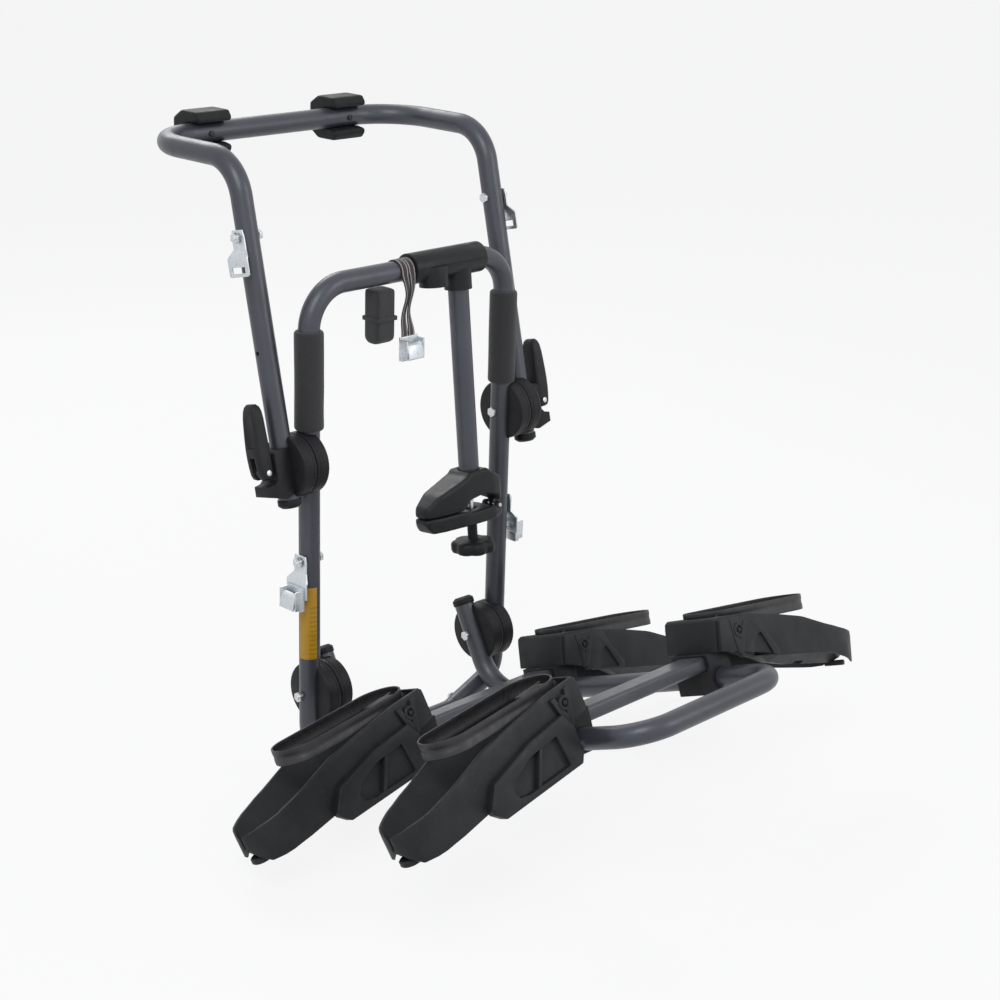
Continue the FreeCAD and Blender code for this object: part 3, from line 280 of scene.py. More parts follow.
def film():
    """An amber sticker with no print, only faint rows of plain bars on its lower part."""
    m = Nodes("label_film")
    split = m.new("ShaderNodeSeparateXYZ")
    m.link(m.coords, split.inputs[0])
    rows = m.math("SINE", m.math("MULTIPLY", split.outputs["Z"], 900.0))
    bars = m.math("MULTIPLY", m.math("GREATER_THAN", rows, 0.35),
                  m.math("GREATER_THAN", m.noise(70, 2, (1, 1, 0.02)), 0.46))
    inside = m.math("LESS_THAN", split.outputs["Z"], -0.325)
    ink = m.math("MULTIPLY", m.math("MULTIPLY", bars, inside), 0.3)
    amber = m.ramp(m.noise(25, 4), ((0.3, (0.46, 0.24, 0.006)), (0.7, (0.55, 0.30, 0.010))))
    m.link(m.mix(ink, amber, (0.09, 0.05, 0.01)), m.shader.inputs["Base Color"])
    m.link(m.spread(m.noise(100, 4), 0.25, 0.4), m.shader.inputs["Roughness"])
    m.bump(((m.noise(300, 3), 0.2, 0.08),))
    return m.material


MATERIALS = {
    "tube_paint": powder_coat("tube_paint", (0.050, 0.055, 0.070), 0.42),
    "bar_paint": powder_coat("bar_paint", (0.052, 0.056, 0.068), 0.44),
    "foam_black": foam("foam_black"),
    "hinge_plastic": moulded("hinge_plastic", (0.014, 0.014, 0.016), 0.50),
    "pad_plastic": moulded("pad_plastic", (0.013, 0.014, 0.015), 0.52),
    "lever_plastic": moulded("lever_plastic", (0.019, 0.019, 0.022), 0.45),
    "tray_plastic": moulded("tray_plastic", (0.021, 0.022, 0.024), 0.48),
    "ratchet_plastic": moulded("ratchet_plastic", (0.014, 0.014, 0.015), 0.46),
    "strap_rubber": rubber("strap_rubber"),
    "holder_plastic": moulded("holder_plastic", (0.016, 0.017, 0.019), 0.40),
    "knob_plastic": moulded("knob_plastic", (0.012, 0.013, 0.014), 0.50),
    "zinc_plate": zinc("zinc_plate", (0.60, 0.64, 0.67), 0.38),
    "bolt_black": zinc("bolt_black", (0.045, 0.046, 0.050), 0.42, (1, 1, 1)),
    "bolt_steel": zinc("bolt_steel", (0.64, 0.66, 0.68), 0.30, (1, 1, 1)),
    "label_film": film(),
    "webbing_black": woven("webbing_black"),
    "webbing_strip": woven("webbing_strip", striped=True),
}


# ---------------------------------------------------------------- meshes


def finish_piece(obj, body, slot, *replaced, smooth=38, material=None):
    """Gives a piece its material, its shading, its body and the nodes that it stands for."""
    mesh = obj.data
    mesh.materials.clear()
    mesh.materials.append(MATERIALS[material or slot])
    for face in mesh.polygons:
        face.use_smooth = True
        face.material_index = 0
    mesh.set_sharp_from_angle(angle=math.radians(smooth))
    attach(obj, body)
    if replaced:
        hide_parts(*replaced)
    return obj


def applied(obj):
    """Applies an object's modifiers."""
    bpy.context.view_layer.update()
    graph = bpy.context.evaluated_depsgraph_get()
    mesh = bpy.data.meshes.new_from_object(obj.evaluated_get(graph))
    old = obj.data
    obj.modifiers.clear()
    obj.data = mesh
    bpy.data.meshes.remove(old)
    return obj


def bevelled(obj, width, segments=2, angle=32):
    mod = obj.modifiers.new("bevel", "BEVEL")
    mod.width = width * MM
    mod.segments = segments
    mod.limit_method = "ANGLE"
    mod.angle_limit = math.radians(angle)
    mod.use_clamp_overlap = True
    return applied(obj)


def mesh_object(name, verts, faces):
    """Vertices in millimetres, faces as index lists."""
    mesh = bpy.data.meshes.new(name)
    mesh.from_pydata([tuple(c * MM for c in v) for v in verts], [], faces)
    mesh.validate()
    obj = bpy.data.objects.new(name, mesh)
    SCENE.collection.objects.link(obj)
    return obj


def outward(obj):
    bm = bmesh.new()
    bm.from_mesh(obj.data)
    bmesh.ops.recalc_face_normals(bm, faces=bm.faces)
    bm.to_mesh(obj.data)
    bm.free()
    return obj


def refined(node, width, segments=2, angle=32):
    """A copy of a CAD node with merged faces and softened edges."""
    bm = bmesh.new()
    bm.from_mesh(nodes[node].data)
    bmesh.ops.remove_doubles(bm, verts=bm.verts, dist=2e-5)
    bmesh.ops.dissolve_limit(bm, angle_limit=math.radians(0.6), verts=bm.verts, edges=bm.edges)
    mesh = bpy.data.meshes.new(node + "_look")
    bm.to_mesh(mesh)
    bm.free()
    obj = bpy.data.objects.new(node + "_look", mesh)
    SCENE.collection.objects.link(obj)
    if width:
        bevelled(obj, width, segments, angle)
    return obj


def softened(node, voxel, rounds):
    """A copy of a CAD node with its edges melted, rebuilt in voxels of a given size and smoothed."""
    obj = refined(node, 0)
    mod = obj.modifiers.new("remesh", "REMESH")
    mod.mode = "VOXEL"
    mod.voxel_size = voxel * MM
    applied(obj)
    mod = obj.modifiers.new("smooth", "SMOOTH")
    mod.factor = 0.5
    mod.iterations = rounds
    applied(obj)
    return finish_piece(obj, BODY[node], SLOT[node], node, smooth=80)


def shown(node, width, segments=2, smooth=38, angle=32, material=None):
    return finish_piece(refined(node, width, segments, angle), BODY[node], SLOT[node], node,
                        smooth=smooth, material=material)


def loft(name, rings, closed=True, capped=True):
    """A skin over rings of equal length; each ring is a list of points."""
    count = len(rings[0])
    verts = [p for ring in rings for p in ring]
    faces = []
    for i in range(len(rings) - 1):
        for j in range(count if closed else count - 1):
            a, b = i * count + j, i * count + (j + 1) % count
            faces.append((a, b, b + count, a + count))
    if capped:
        faces.append(tuple(range(count - 1, -1, -1)))
        last = (len(rings) - 1) * count
        faces.append(tuple(range(last, last + count)))
    return outward(mesh_object(name, verts, faces))


def sides_of(axis):
    """Two unit vectors square to an axis and to each other."""
    axis = axis.normalized()
    other = Vector((1, 0, 0)) if abs(axis.x) < 0.9 else Vector((0, 1, 0))
    first = axis.cross(other).normalized()
    return first, axis.cross(first)


def lathe(name, start, axis, profile, count=56, waves=0, wave_depth=0.0):
    """A turned shape; profile is (radius, height) pairs. Waves flute every radius above 60%."""
    first, second = sides_of(axis)
    axis = axis.normalized()
    top = max(r for r, _ in profile)
    rings = []
    for radius, height in profile:
        ring = []
        for k in range(count):
            turn = 2 * math.pi * k / count
            r = radius
            if waves and radius > 0.6 * top:
                r -= wave_depth * (0.5 - 0.5 * math.cos(waves * turn)) ** 1.5
            spoke = first * math.cos(turn) + second * math.sin(turn)
            ring.append(start + axis * height + spoke * r)
        rings.append(ring)
    return loft(name, rings)


def fillet_path(points, radii, step=4.0):
    """Straight runs joined by tangent arcs, as points."""
    path = [points[0]]
    for before, corner, after, radius in zip(points, points[1:], points[2:], radii):
        back, ahead = (before - corner).normalized(), (after - corner).normalized()
        half = back.angle(ahead) / 2
        run = radius / math.tan(half)
        centre = corner + (back + ahead).normalized() * (radius / math.sin(half))
        begin, end = corner + back * run - centre, corner + ahead * run - centre
        total = begin.angle(end)
        count = max(4, int(total * radius / step))
        for k in range(count + 1):
            t = k / count
            mixed = begin * math.sin((1 - t) * total) + end * math.sin(t * total)
            path.append(centre + mixed / math.sin(total))
    path.append(points[-1])
    return path


def carried(path):
    """A frame at each point of a path, carried along without twist."""
    tangents = []
    for i in range(len(path)):
        a, b = path[max(0, i - 1)], path[min(len(path) - 1, i + 1)]
        tangents.append((b - a).normalized())
    side = sides_of(tangents[0])[0]
    frames = []
    for point, tangent in zip(path, tangents):
        side = (side - tangent * side.dot(tangent)).normalized()
        frames.append((point, side, tangent.cross(side)))
    return frames


def tube(name, points, radii, radius=TUBE, count=40):
    path = fillet_path([Vector(p) for p in points], radii)
    rings = []
    for centre, side, up in carried(path):
        turns = [2 * math.pi * k / count for k in range(count)]
        rings.append([centre + (side * math.cos(a) + up * math.sin(a)) * radius for a in turns])
    return loft(name, rings)


def prism(name, outline, depth, matrix):
    """An outline in a placement's X and Y, extruded along its Z, half each way."""
    verts = [matrix @ Vector((x, y, z)) for z in (-depth / 2, depth / 2) for x, y in outline]
    n = len(outline)
    faces = [tuple(range(n - 1, -1, -1)), tuple(range(n, 2 * n))]
    faces += [(i, (i + 1) % n, (i + 1) % n + n, i + n) for i in range(n)]
    return outward(mesh_object(name, verts, faces))


def block(name, size, matrix):
    x, y = size[0] / 2, size[1] / 2
    return prism(name, ((-x, -y), (x, -y), (x, y), (-x, y)), size[2], matrix)


def carve(obj, *tools):
    """Cuts tools out of an object and removes them."""
    for tool in tools:
        mod = obj.modifiers.new("cut", "BOOLEAN")
        mod.operation = "DIFFERENCE"
        mod.solver = "EXACT"
        mod.object = tool
        applied(obj)
        bpy.data.objects.remove(tool)
    return obj


def joined(name, pieces):
    """Several meshes as one object."""
    bm = bmesh.new()
    for piece in pieces:
        bm.from_mesh(piece.data)
        bpy.data.objects.remove(piece)
    mesh = bpy.data.meshes.new(name)
    bm.to_mesh(mesh)
    bm.free()
    obj = bpy.data.objects.new(name, mesh)
    SCENE.collection.objects.link(obj)
    return obj


def basis(origin, x, y, z):
    return Matrix.Translation(origin) @ Matrix((x, y, z)).transposed().to_4x4()


# ---------------------------------------------------------------- tubes


def mirrored(points):
    return points + [Vector((-p.x, p.y, p.z)) for p in reversed(points)]


TOE_SLOPE = (-75.0 + 114.0) / (LEG_X - 95.0)


def tubes():
    legs = mirrored([at(106, 0, -114 + 11 * TOE_SLOPE), at(LEG_X, 0, -75), at(LEG_X, 0, CROSS_UP)])
    finish_piece(tube("main_frame_look", legs, (44, 60, 60, 44)), "frame", "tube_paint",
                 "main_frame_tube")
    foot = mirrored([at(105.6, 0, -114 + 10.6 * TOE_SLOPE), at(95, 0, -114)])
    finish_piece(tube("bottom_bar_look", foot, (36, 36), TUBE - 0.15), "frame", "tube_paint",
                 "bottom_bar")

    tail, height = at(BOW_X, 0, UP) - BOW_DIRECTION * 46, 753.5
    side = [tail, at(BOW_X, math.tan(LEAN) * (height - UP), height), at(BOW_X, 296, height)]
    bow = tube("bow_look", mirrored(side), (62, 82, 82, 62))
    drills = []
    for name, sign in SIDES:
        hole = at(sign * BOW_X, 0, UP) + BOW_DIRECTION * 158
        drills.append(lathe("drill_" + name, hole - Vector((30, 0, 0)), Vector((1, 0, 0)),
                            ((3.2, 0), (3.2, 60)), 20))
    finish_piece(carve(bow, *drills), "bow", "tube_paint", "upper_bow_tube")

    outer = PLATFORM @ Vector((ARM_X, -554, 0))
    base = PLATFORM @ Vector((ARM_X, 0, 0))
    hinge = at(ARM_X, 0, 0)
    way = (outer - base).normalized()
    across = Vector((0, -way.z, way.y))
    elbow = hinge - ARM_RISE * ((hinge - base).dot(across) / ARM_RISE.dot(across))
    arms = mirrored([hinge + ARM_RISE * 48, elbow, outer])
    finish_piece(tube("platform_look", arms, (64, 53, 53, 64)), "platform", "tube_paint",
                 "platform_tube")

    top, foot = HOLDER @ Vector((0, 0, -19)), HOLDER @ Vector((0, 0, -322))
    finish_piece(tube("post_look", [top, foot], ()), "holder", "tube_paint", "holder_post")


PLATFORM = Matrix.Translation(at(0, -62.6, -80.6)) @ Matrix.Rotation(-math.radians(21.5), 4, "X")
HOLDER = Matrix.Translation(at(89, 0, CROSS_UP)) @ Matrix.Rotation(-math.radians(6.5), 4, "X")
JAWS = HOLDER @ Matrix.Translation((0, 0, -323.1))


def on_platform(side, out, across, up, tilt):
    """A placement on the platform that looks outwards along X and is tilted about its own Y."""
    turn = Matrix.Rotation(0 if side > 0 else math.pi, 4, "Z")
    tilted = Matrix.Rotation(math.radians(tilt), 4, "Y")
    return PLATFORM @ Matrix.Translation((side * across, -out, up)) @ turn @ tilted


# ---------------------------------------------------------------- soft rests


def sleeves():
    for name, sign in SIDES:
        start = at(sign * LEG_X, 0, 462.5 - 69)
        profile = [(15.2, 0), (18.2, 0.2), (19.8, 1.4), (20.5, 3.6)]
        profile += [(20.5, 3.6 + 8 * k) for k in range(1, 17)]
        profile += [(20.3, 135.2), (19.2, 137), (17.6, 137.9), (15.2, 138)]
        piece = lathe("foam_sleeve_look_" + name, start, Vector((0, 0, 1)), profile, 64)
        middle = at(sign * LEG_X, 0, 0) * MM
        for vertex in piece.data.vertices:
            away = Vector((vertex.co.x - middle.x, vertex.co.y - middle.y, 0))
            if away.length > 0.0185:
                dent = noise.noise(Vector(vertex.co) * 26 + Vector((sign * 7, 0, 0)))
                vertex.co += away.normalized() * (0.00045 * (dent - 0.6))
        finish_piece(piece, "frame", "foam_black", "foam_sleeve_" + name)


# ---------------------------------------------------------------- wheel trays


def curve(stops, x, soft=True):
    """Interpolation between (place, value) stops, eased at each stop unless soft is off."""
    if x <= stops[0][0]:
        return stops[0][1]
    for (x0, v0), (x1, v1) in zip(stops, stops[1:]):
        if x <= x1:
            t = (x - x0) / (x1 - x0)
            if soft:
                t = t * t * (3 - 2 * t)
            return v0 + (v1 - v0) * t
    return stops[-1][1]


# Stops along a tray of half its width, and of heights and depths measured from its top plane.
HALF_WIDTH = ((0, 46), (12, 49), (140, 49), (255, 46), (288, 42.5), (304, 38), (315, 32), (323, 25),
              (328.5, 17), (331, 10), (332, 6))
RIM = ((0, 3), (6, 7), (58, 9.5), (128, 6.5), (188, 1), (242, -11.5), (292, -21), (318, -25), (332, -31))
VALLEY = ((0, 28), (84, 28), (116, 44), (160, 58), (200, 62), (300, 65), (320, 60), (332, 50))
FLOOR = ((0, 37), (80, 37), (112, 20), (150, 5), (200, 1.6), (332, 1.2))
DEEP_SIDE = ((0, 40), (38, 43), (50, 91), (193, 85), (212, 69), (300, 74), (318, 73), (328, 62), (332, 50))
SHALLOW_SIDE = ((0, 40), (40, 43), (60, 51), (250, 53), (300, 64), (318, 70), (328, 62), (332, 50))


def tray_section(x):
    """One closed section of a tray's wall: outer skirts, rims and the channel between them."""
    half, wall, rim = curve(HALF_WIDTH, x), 3.6, curve(RIM, x, False)
    valley, floor = -curve(VALLEY, x), min(curve(FLOOR, x), half * 0.5)
    deep, shallow = -curve(DEEP_SIDE, x, False), -curve(SHALLOW_SIDE, x, False)
    lip = min(5.0, half * 0.28)
    inner = half - lip - 2.2
    flank, middle = floor + (inner - floor) * 0.5, 0.5 * (valley + rim)
    left = [(-half + 1.0, shallow), (-half, rim - 8), (-half + 0.6, rim), (-half + lip, rim + 0.4),
            (-inner, rim - 3), (-flank, middle - 1), (-floor, valley + 0.6), (-floor * 0.6, valley)]
    right = [(-y, z) for y, z in reversed(left[1:])] + [(half - 1.0, deep)]
    under = [(half - 1.0 - wall, deep), (half - wall - 1.5, (valley - wall) * 0.5 - 4),
             (floor + 1, valley - wall), (-floor - 1, valley - wall),
             (-half + wall + 1.5, (valley - wall) * 0.5 - 4), (-half + 1.0 + wall, shallow)]
    return [Vector((x, y, z)) for y, z in left + right + under]


def tray(row, name, side, out):
    """A shovel shaped wheel tray with a pocketed side wall, an end wall and an eye at its tip."""
    label = f"{row}_{name}"
    place = on_platform(side, out, TRAY_X, TRAY_UP, TRAY_TILT)
    xs = (0, 3, 7, 14, 26, 38, 44, 50, 64, 84, 96, 108, 120, 136, 152, 168, 182, 193, 202, 212, 226, 242,
          260, 276, 290, 302, 311, 318, 323, 327, 330, 332)
    rings = [[place @ p for p in tray_section(x)] for x in xs]
    shell = bevelled(loft("tray_shell_" + label, rings), 1.1, 2, 40)
    slot_cut = block("tray_slot_" + label, (19, 15, 40), place @ Matrix.Translation((222, 0, -58)))
    carve(shell, slot_cut)
    parts = [shell]
    upright = Matrix.Rotation(math.radians(90), 4, "X")

    # The strengthened side wall: a raised border round a pocket with a solid back.
    border = prism("border", ((54, -22), (120, -24), (196, -38), (216, -62), (214, -72), (200, -85),
                              (52, -92), (43, -80), (42, -44)), 14.6,
                   place @ Matrix.Translation((0, 50, 0)) @ upright)
    pocket = prism("pocket", ((76, -40), (128, -40), (164, -52), (173, -64), (168, -74), (150, -79),
                              (72, -83)), 14.6, place @ Matrix.Translation((0, 56.2, 0)) @ upright)
    parts.append(bevelled(carve(border, pocket), 1.8, 3, 30))
    rib = prism("rib", ((104, -40), (110, -40), (136, -80), (129, -81)), 11,
                place @ Matrix.Translation((0, 51, 0)) @ upright)
    parts.append(bevelled(rib, 1.0))

    # The inboard end wall and the raised floor behind it.
    heel = prism("heel", ((-0.4, -41), (-0.4, 2), (3, 6.6), (6.5, 7), (6.5, -27.6), (92, -27.6), (92, -31),
                          (6.5, -31), (6.5, -41)), 89, place @ upright)
    parts.append(bevelled(heel, 1.2, 2, 30))
    for rib_x in (84, 92):
        floor_rib = block("floor_rib", (2.4, 64, 3.2), place @ Matrix.Translation((rib_x, 0, -26.8)))
        parts.append(bevelled(floor_rib, 0.6))

    # The strap's anchor on the outward side: a forked bracket with a ringed boss. The right trays
    # turn their shallow side that way, and it carries a panel with an arched recess.
    face = -side
    outward_face = place @ Matrix.Translation((0, face * 50.2, 0)) @ upright
    fork = prism("fork", ((22, 3), (31, 3), (42, -26), (52, 1), (60, 1), (48, -44), (37, -44)), 7.6,
                 outward_face)
    parts.append(bevelled(fork, 1.0))
    boss_axis = place.to_3x3() @ Vector((0, face, 0))
    boss_at = place @ Vector((40, face * 48, -12))
    parts.append(lathe("boss", boss_at, boss_axis, ((10, 0), (10, 6.6), (9.2, 7.4), (6, 7.4),
                                                    (5.4, 6.4), (5.2, 4)), 40))
    parts.append(lathe("boss_pin", boss_at, boss_axis, ((3.2, 0), (3.2, 7.6), (2.4, 8.4)), 24))
    if side > 0:
        panel = prism("panel", ((3, 2), (58, 7), (84, 6), (98, -14), (124, -40), (126, -50), (46, -50),
                                (40, -42), (3, -40)), 6.4,
                      place @ Matrix.Translation((0, -49.6, 0)) @ upright)
        arch = prism("arch", ((70, -49), (72, -34), (80, -20), (88, -17), (96, -26), (112, -46),
                              (112, -49)), 5, place @ Matrix.Translation((0, -51.6, 0)) @ upright)
        parts.append(bevelled(carve(panel, arch), 1.0))

    # The eye at the tip.
    eye = place @ Matrix.Translation((315.5, 2, -70))
    up = eye.to_3x3() @ Vector((0, 0, 1))
    ring = lathe("eye", eye @ Vector((0, 0, -4)), up, ((13.5, 0), (15, 1.4), (15, 6.6), (13.5, 8)), 40)
    bore = lathe("eye_bore", eye @ Vector((2.5, 0, -9)), up, ((5.2, 0), (5.2, 30)), 28)
    parts.append(carve(ring, bore))
    piece = joined("wheel_tray_look_" + label, parts)
    finish_piece(piece, "platform", "tray_plastic", f"wheel_tray_{label}", smooth=34)


def oval(half, radius, pitch):
    """Points and outward normals round two straight runs joined by half circles."""
    run = half - radius
    straight, turn = int(2 * run / pitch), int(math.pi * radius / pitch)
    line = []
    for way in (1, -1):
        for k in range(straight):
            point = Vector((way * (2 * run * k / straight - run), -way * radius, 0))
            line.append((point, Vector((0, -way, 0))))
        for k in range(turn):
            a = -way * math.pi / 2 + math.pi * k / turn
            c, s = math.cos(a), math.sin(a)
            line.append((Vector((way * run + radius * c, radius * s, 0)), Vector((c, s, 0))))
    return line


def strap(row, name, side, out):
    """A ribbed rubber strap closed into an oval, with smooth edges and a raised middle inside."""
    label = f"{row}_{name}"
    place = on_platform(side, out, STRAP_X, STRAP_UP, STRAP_TILT)
    edge, thick = 11.0, 2.6
    inner = thick - 0.2
    rings = []
    for index, (point, normal) in enumerate(oval(110.0, 38.0, 1.6)):
        ribbed = thick - (0.2 if index % 3 == 0 else 0.95)
        section = (
            (0.0, -edge + 0.7), (0.0, -3.6), (-0.5, -3.0), (-0.5, 3.0), (0.0, 3.6), (0.0, edge - 0.7),
            (-0.7, edge), (-inner, edge - 0.5), (-inner, edge - 4.4), (-ribbed, edge - 5.2),
            (-ribbed, -edge + 5.2), (-inner, -edge + 4.4), (-inner, -edge + 0.5), (-0.7, -edge))
        rings.append([place @ (point + normal * d + Vector((0, 0, z))) for d, z in section])
    rings.append(rings[0])
    obj = loft("wheel_strap_look_" + label, rings, capped=False)
    bm = bmesh.new()
    bm.from_mesh(obj.data)
    bmesh.ops.remove_doubles(bm, verts=bm.verts, dist=1e-6)
    bmesh.ops.recalc_face_normals(bm, faces=bm.faces)
    bm.to_mesh(obj.data)
    bm.free()
    finish_piece(obj, "platform", "strap_rubber", f"wheel_strap_{label}", smooth=40)


def trays():
    for row, out in ROWS:
        for name, side in SIDES:
            tray(row, name, side, out)
            strap(row, name, side, out)


# ---------------------------------------------------------------- hinges and levers


def drums():
    """The hinge halves: thick plastic discs with a finely fluted rim and a shallow ring in the face."""
    upright = Vector((0, 0, 1))
    groups = {"upper_frame_discs": (LEG_X, UP, 1, upright), "bow_discs": (BOW_X, UP, -1, BOW_DIRECTION),
              "lower_frame_discs": (LEG_X, 0, -1, upright), "platform_discs": (ARM_X, 0, 1, ARM_RISE)}
    depth = 22.1
    profile = ((4.1, 0.2), (40.6, 0.2), (43.0, 0.9), (44, 2.6), (44, depth - 6.4), (43.5, depth - 6.0),
               (43.5, depth - 5.4), (44, depth - 5.0), (44, depth - 2.4), (43.2, depth - 0.7),
               (41.4, depth), (34, depth), (33.4, depth - 0.7), (32.4, depth - 0.7), (31.8, depth),
               (4.1, depth))
    for node, (x, z, facing, way) in groups.items():
        parts = []
        for name, sign in SIDES:
            centre = at(sign * x, 0, z)
            drum = lathe("drum", centre, Vector((sign * facing, 0, 0)), profile, 144, 48, 0.28)
            bed = tube("bed", [centre - way * 70, centre + way * 70], (), TUBE + 0.05, 48)
            parts.append(carve(drum, bed))
        finish_piece(joined(node + "_look", parts), BODY[node], "hinge_plastic", node, smooth=30)


def rounded_lever(name, sign):
    """A clamping lever: a thick thumb shape, waisted below its rounded top."""
    hinge = at(sign * BOW_X, 0, UP)
    out = Vector((sign, 0, 0))
    squared = 0.42
    stations = (  # up, inner, outer, half width
        (-9.6, 32.5, 43.0, 11.0), (-7.5, 30.0, 46.5, 14.0), (-2.0, 28.0, 49.2, 14.8),
        (8.0, 27.7, 50.6, 15.0), (20.0, 27.9, 51.6, 15.0), (34.0, 28.1, 52.0, 14.6),
        (48.0, 28.6, 51.4, 14.2), (62.0, 29.2, 50.2, 14.0), (74.0, 29.8, 49.0, 13.8),
        (84.0, 30.8, 47.4, 12.8), (90.0, 32.6, 45.4, 10.8), (93.6, 36.0, 42.6, 7.4))
    rings = []
    for up, inner, outer, half in stations:
        ring = []
        middle, depth = (inner + outer) / 2, (outer - inner) / 2
        for k in range(28):
            a = 2 * math.pi * k / 28
            c, s = math.cos(a), math.sin(a)
            dx = depth * math.copysign(abs(c) ** squared, c)
            dy = half * math.copysign(abs(s) ** squared, s)
            ring.append(hinge + BOW_DIRECTION * up + out * (middle + dx) + BOW_ACROSS * dy)
        rings.append(ring)
    lever = loft("lever_" + name, rings)
    frame_at = basis(hinge, out, BOW_ACROSS, BOW_DIRECTION)
    fork = block("fork", (40, 9.8, 36), frame_at @ Matrix.Translation((41, 0, 4)))
    dish = block("dish", (9, 19, 46), frame_at @ Matrix.Translation((52.6, 0, 58)))
    carve(lever, fork, bevelled(dish, 3.5, 3))
    return bevelled(lever, 0.8, 2, 40)


def levers():
    for name, sign in SIDES:
        finish_piece(rounded_lever(name, sign), f"cam_lever_body_{name}", "lever_plastic",
                     "cam_lever_" + name, smooth=42)
    shown("cam_saddles", 2.4, 3)
    shown("lever_pins", 0.5)
    shown("cam_bolts", 0.4)


# ---------------------------------------------------------------- everything else


def knob():
    profile = ((4.2, 0), (7.4, 0), (7.4, -22), (9.5, -23.6), (20, -24), (27, -24.4), (31, -26), (33, -29),
               (33, -37.5), (31, -41.5), (26, -43.6), (14, -44), (5, -44))
    start = JAWS @ Vector((0, 0, -66))
    axis = JAWS.to_3x3() @ Vector((0, 0, 1))
    piece = lathe("knob_look", start, axis, profile, 112, 7, 3.4)
    finish_piece(piece, "knob", "knob_plastic", "clamp_knob", smooth=40)


# The width of the softened edges of pieces that keep their CAD shape, in millimetres.
PLAIN = {
    "frame_joint_bolts": 0.4, "lower_hinge_bolts": 0.5, "leg_strap_plates": 0.5, "leg_plate_bolts": 0.5,
    "leg_buckles": 0.5, "leg_label": 0.0, "roll_band": 0.3, "tie_buckle": 0.5,
    "leg_buckle_lever_left": 0.6, "leg_buckle_lever_right": 0.6, "tie_buckle_lever": 0.6,
    "bow_end_caps": 0.8, "bow_strap_plates": 0.5, "bow_plate_bolts": 0.5, "platform_arm_caps": 0.8,
    "tray_bars": 0.6, "tray_saddles": 2.2, "ratchet_housings": 1.2, "ratchet_lever_inner_left": 0.7,
    "ratchet_lever_inner_right": 0.7, "ratchet_lever_outer_left": 0.7, "ratchet_lever_outer_right": 0.7,
    "holder_bracket_upper": 1.6, "holder_bracket_lower": 1.6, "bracket_screws": 0.3,
    "jaw_pin": 0.4, "clamp_stud": 0.3, "knob_washer": 0.5,
}
# Rounds of smoothing for thick mouldings and the rolled strap.
SOFT = {"rest_pad_left": 34, "rest_pad_right": 34, "holder_upper_jaw": 60, "holder_lower_jaw": 26,
        "webbing_roll": 70}


def plain_pieces():
    for node, width in PLAIN.items():
        shown(node, width, 3 if width > 1.5 else 2)
    for node, rounds in SOFT.items():
        softened(node, 1.5, rounds)
    shown("rest_pad_screws", 0.4, material="bolt_black")


def ribbon(name, path, width, thick):
    """A flat strip along a path of (centre, across) pairs, measured across and along by its UVs."""
    rings, marks, run = [], [], 0.0
    for index, (centre, across) in enumerate(path):
        before, after = path[max(0, index - 1)][0], path[min(len(path) - 1, index + 1)][0]
        along = (after - before).normalized()
        across = (across - along * across.dot(along)).normalized()
        face = along.cross(across)
        if index:
            run += (centre - path[index - 1][0]).length
        offsets = (-0.5, -0.38, -0.2, 0.0, 0.2, 0.38, 0.5)
        top = [centre + across * (width * o) + face * (thick / 2) for o in offsets]
        low = [centre + across * (width * o) - face * (thick / 2) for o in reversed(offsets)]
        rings.append(top + low)
        marks.append([(width * o * MM, run * MM) for o in offsets + tuple(reversed(offsets))])
    obj = loft(name, rings)
    flat = [mark for ring in marks for mark in ring]
    layer = obj.data.uv_layers.new(name="UVMap")
    for loop in obj.data.loops:
        layer.data[loop.index].uv = flat[loop.vertex_index]
    return obj


def stored_strap():
    """Two strands of the spare strap, looped over the top bar and hanging in soft waves."""
    strands = []
    bar = at(-21, 0, CROSS_UP)
    for index, shift in enumerate((-6.3, 6.3)):
        path = []
        for k in range(26):
            a = math.radians(-62 + 242 * k / 25)
            reach = TUBE + 1.3 + 0.3 * index
            path.append((bar + Vector((shift, math.cos(a) * reach, math.sin(a) * reach)),
                         Vector((1, 0, 0))))
        for k in range(1, 42):
            t = k / 41
            drop = 90 * t
            wave = 5.2 * math.sin(t * 6.0 + 0.5 * index) * math.sin(math.pi * min(1.0, t * 1.02))
            sway = 2.0 * math.sin(t * 8.0 + 1.3 * index) * (1 - t)
            gather = shift * (1 - 0.25 * math.sin(math.pi * t))
            turn = 0.55 * math.sin(math.pi * t) * (1 if index else 0.8)
            away = -TUBE - 1.3 - 0.3 * index - sway * 0.6 - 1.0 * t
            path.append((bar + Vector((gather + wave, away, -drop)),
                         Vector((math.cos(turn), math.sin(turn), 0))))
        strands.append(ribbon(f"strand_{index}", path, 12.0, 1.7))
    finish_piece(joined("webbing_loop_look", strands), "frame", "webbing_black", "webbing_loop",
                 smooth=50, material="webbing_strip")


# ---------------------------------------------------------------- stage, light and camera


def seen_directly(tree, rays):
    """One for camera, glossy and transmission rays, zero for the diffuse rays that light the object."""
    total = rays.outputs["Is Camera Ray"]
    for kind in ("Is Glossy Ray", "Is Transmission Ray"):
        added = tree.nodes.new("ShaderNodeMath")
        added.operation = "ADD"
        added.use_clamp = True
        tree.links.new(total, added.inputs[0])
        tree.links.new(rays.outputs[kind], added.inputs[1])
        total = added.outputs[0]
    return total


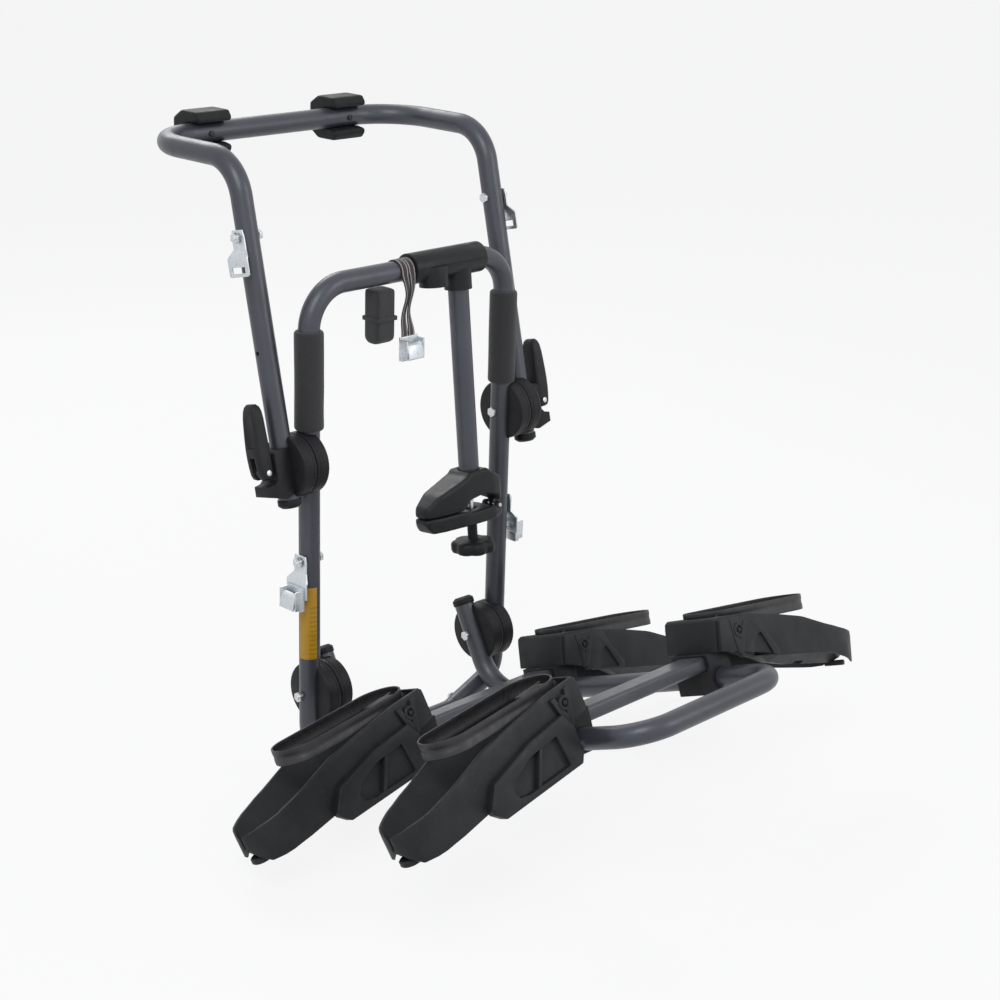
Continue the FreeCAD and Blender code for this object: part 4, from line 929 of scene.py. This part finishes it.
def stage():
    """A white floor that is seen as pure light, and lights the object like plain white paper."""
    floor_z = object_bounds()[0][2] - 0.004
    size = 30.0
    mesh = bpy.data.meshes.new("floor")
    mesh.from_pydata([(-size, -size, floor_z), (size, -size, floor_z), (size, size, floor_z),
                      (-size, size, floor_z)], [], [(0, 1, 2, 3)])
    floor = bpy.data.objects.new("floor", mesh)
    SCENE.collection.objects.link(floor)
    floor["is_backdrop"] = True
    material = bpy.data.materials.new("floor_white")
    material.use_nodes = True
    tree = material.node_tree
    shader = tree.nodes["Principled BSDF"]
    shader.inputs["Base Color"].default_value = (0.86, 0.86, 0.87, 1)
    shader.inputs["Roughness"].default_value = 0.9
    glow = tree.nodes.new("ShaderNodeEmission")
    blend = tree.nodes.new("ShaderNodeMixShader")
    rays = tree.nodes.new("ShaderNodeLightPath")
    part = tree.nodes.new("ShaderNodeMath")
    part.operation = "MULTIPLY"
    part.inputs[1].default_value = 0.86
    tree.links.new(seen_directly(tree, rays), part.inputs[0])
    tree.links.new(part.outputs[0], blend.inputs["Fac"])
    tree.links.new(shader.outputs[0], blend.inputs[1])
    tree.links.new(glow.outputs[0], blend.inputs[2])
    tree.links.new(blend.outputs[0], tree.nodes["Material Output"].inputs["Surface"])
    mesh.materials.append(material)


def world():
    backdrop = bpy.data.worlds.new("studio")
    SCENE.world = backdrop
    backdrop.use_nodes = True
    tree = backdrop.node_tree
    base = tree.nodes["Background"]
    base.inputs["Color"].default_value = (0.93, 0.95, 1.0, 1)
    base.inputs["Strength"].default_value = 0.38
    white = tree.nodes.new("ShaderNodeBackground")
    white.inputs["Color"].default_value = (1, 1, 1, 1)
    rays = tree.nodes.new("ShaderNodeLightPath")
    blend = tree.nodes.new("ShaderNodeMixShader")
    tree.links.new(seen_directly(tree, rays), blend.inputs["Fac"])
    tree.links.new(base.outputs[0], blend.inputs[1])
    tree.links.new(white.outputs[0], blend.inputs[2])
    tree.links.new(blend.outputs[0], tree.nodes["World Output"].inputs["Surface"])


def lamp(name, place, aim, size, power):
    data = bpy.data.lights.new(name, "AREA")
    data.shape = "RECTANGLE"
    data.size, data.size_y = size
    data.energy = power
    obj = bpy.data.objects.new(name, data)
    SCENE.collection.objects.link(obj)
    obj.location = place
    obj.rotation_euler = (Vector(aim) - Vector(place)).to_track_quat("-Z", "Y").to_euler()


def camera():
    azimuth, elevation, roll = (math.radians(a) for a in (-46.4, 19.0, 1.7))
    right = Vector((math.cos(azimuth), math.sin(azimuth), 0))
    back = Vector((math.sin(azimuth) * math.cos(elevation), -math.cos(azimuth) * math.cos(elevation),
                   math.sin(elevation)))
    up = back.cross(right)
    turned_right = right * math.cos(roll) + up * math.sin(roll)
    turned_up = up * math.cos(roll) - right * math.sin(roll)
    place = Vector((0.1081, -0.1018, -0.2175)) + back * 2.9824
    data = bpy.data.cameras.new("camera")
    data.lens, data.sensor_width = 73.5, 36
    obj = bpy.data.objects.new("camera", data)
    SCENE.collection.objects.link(obj)
    obj.matrix_world = basis(place, turned_right, turned_up, back)
    SCENE.camera = obj


camera()
tubes()
sleeves()
trays()
drums()
levers()
knob()
plain_pieces()
stored_strap()
stage()
world()
lamp("key", (-2.2, -1.6, 2.4), (0, -0.2, -0.1), (1.8, 1.8), 50)
lamp("fill", (1.4, -2.8, 1.2), (0, -0.2, -0.1), (1.6, 1.6), 21)
lamp("rim", (0.8, 2.2, 1.8), (0, -0.1, 0.0), (1.6, 1.0), 28)

SCENE.view_settings.view_transform = "Standard"
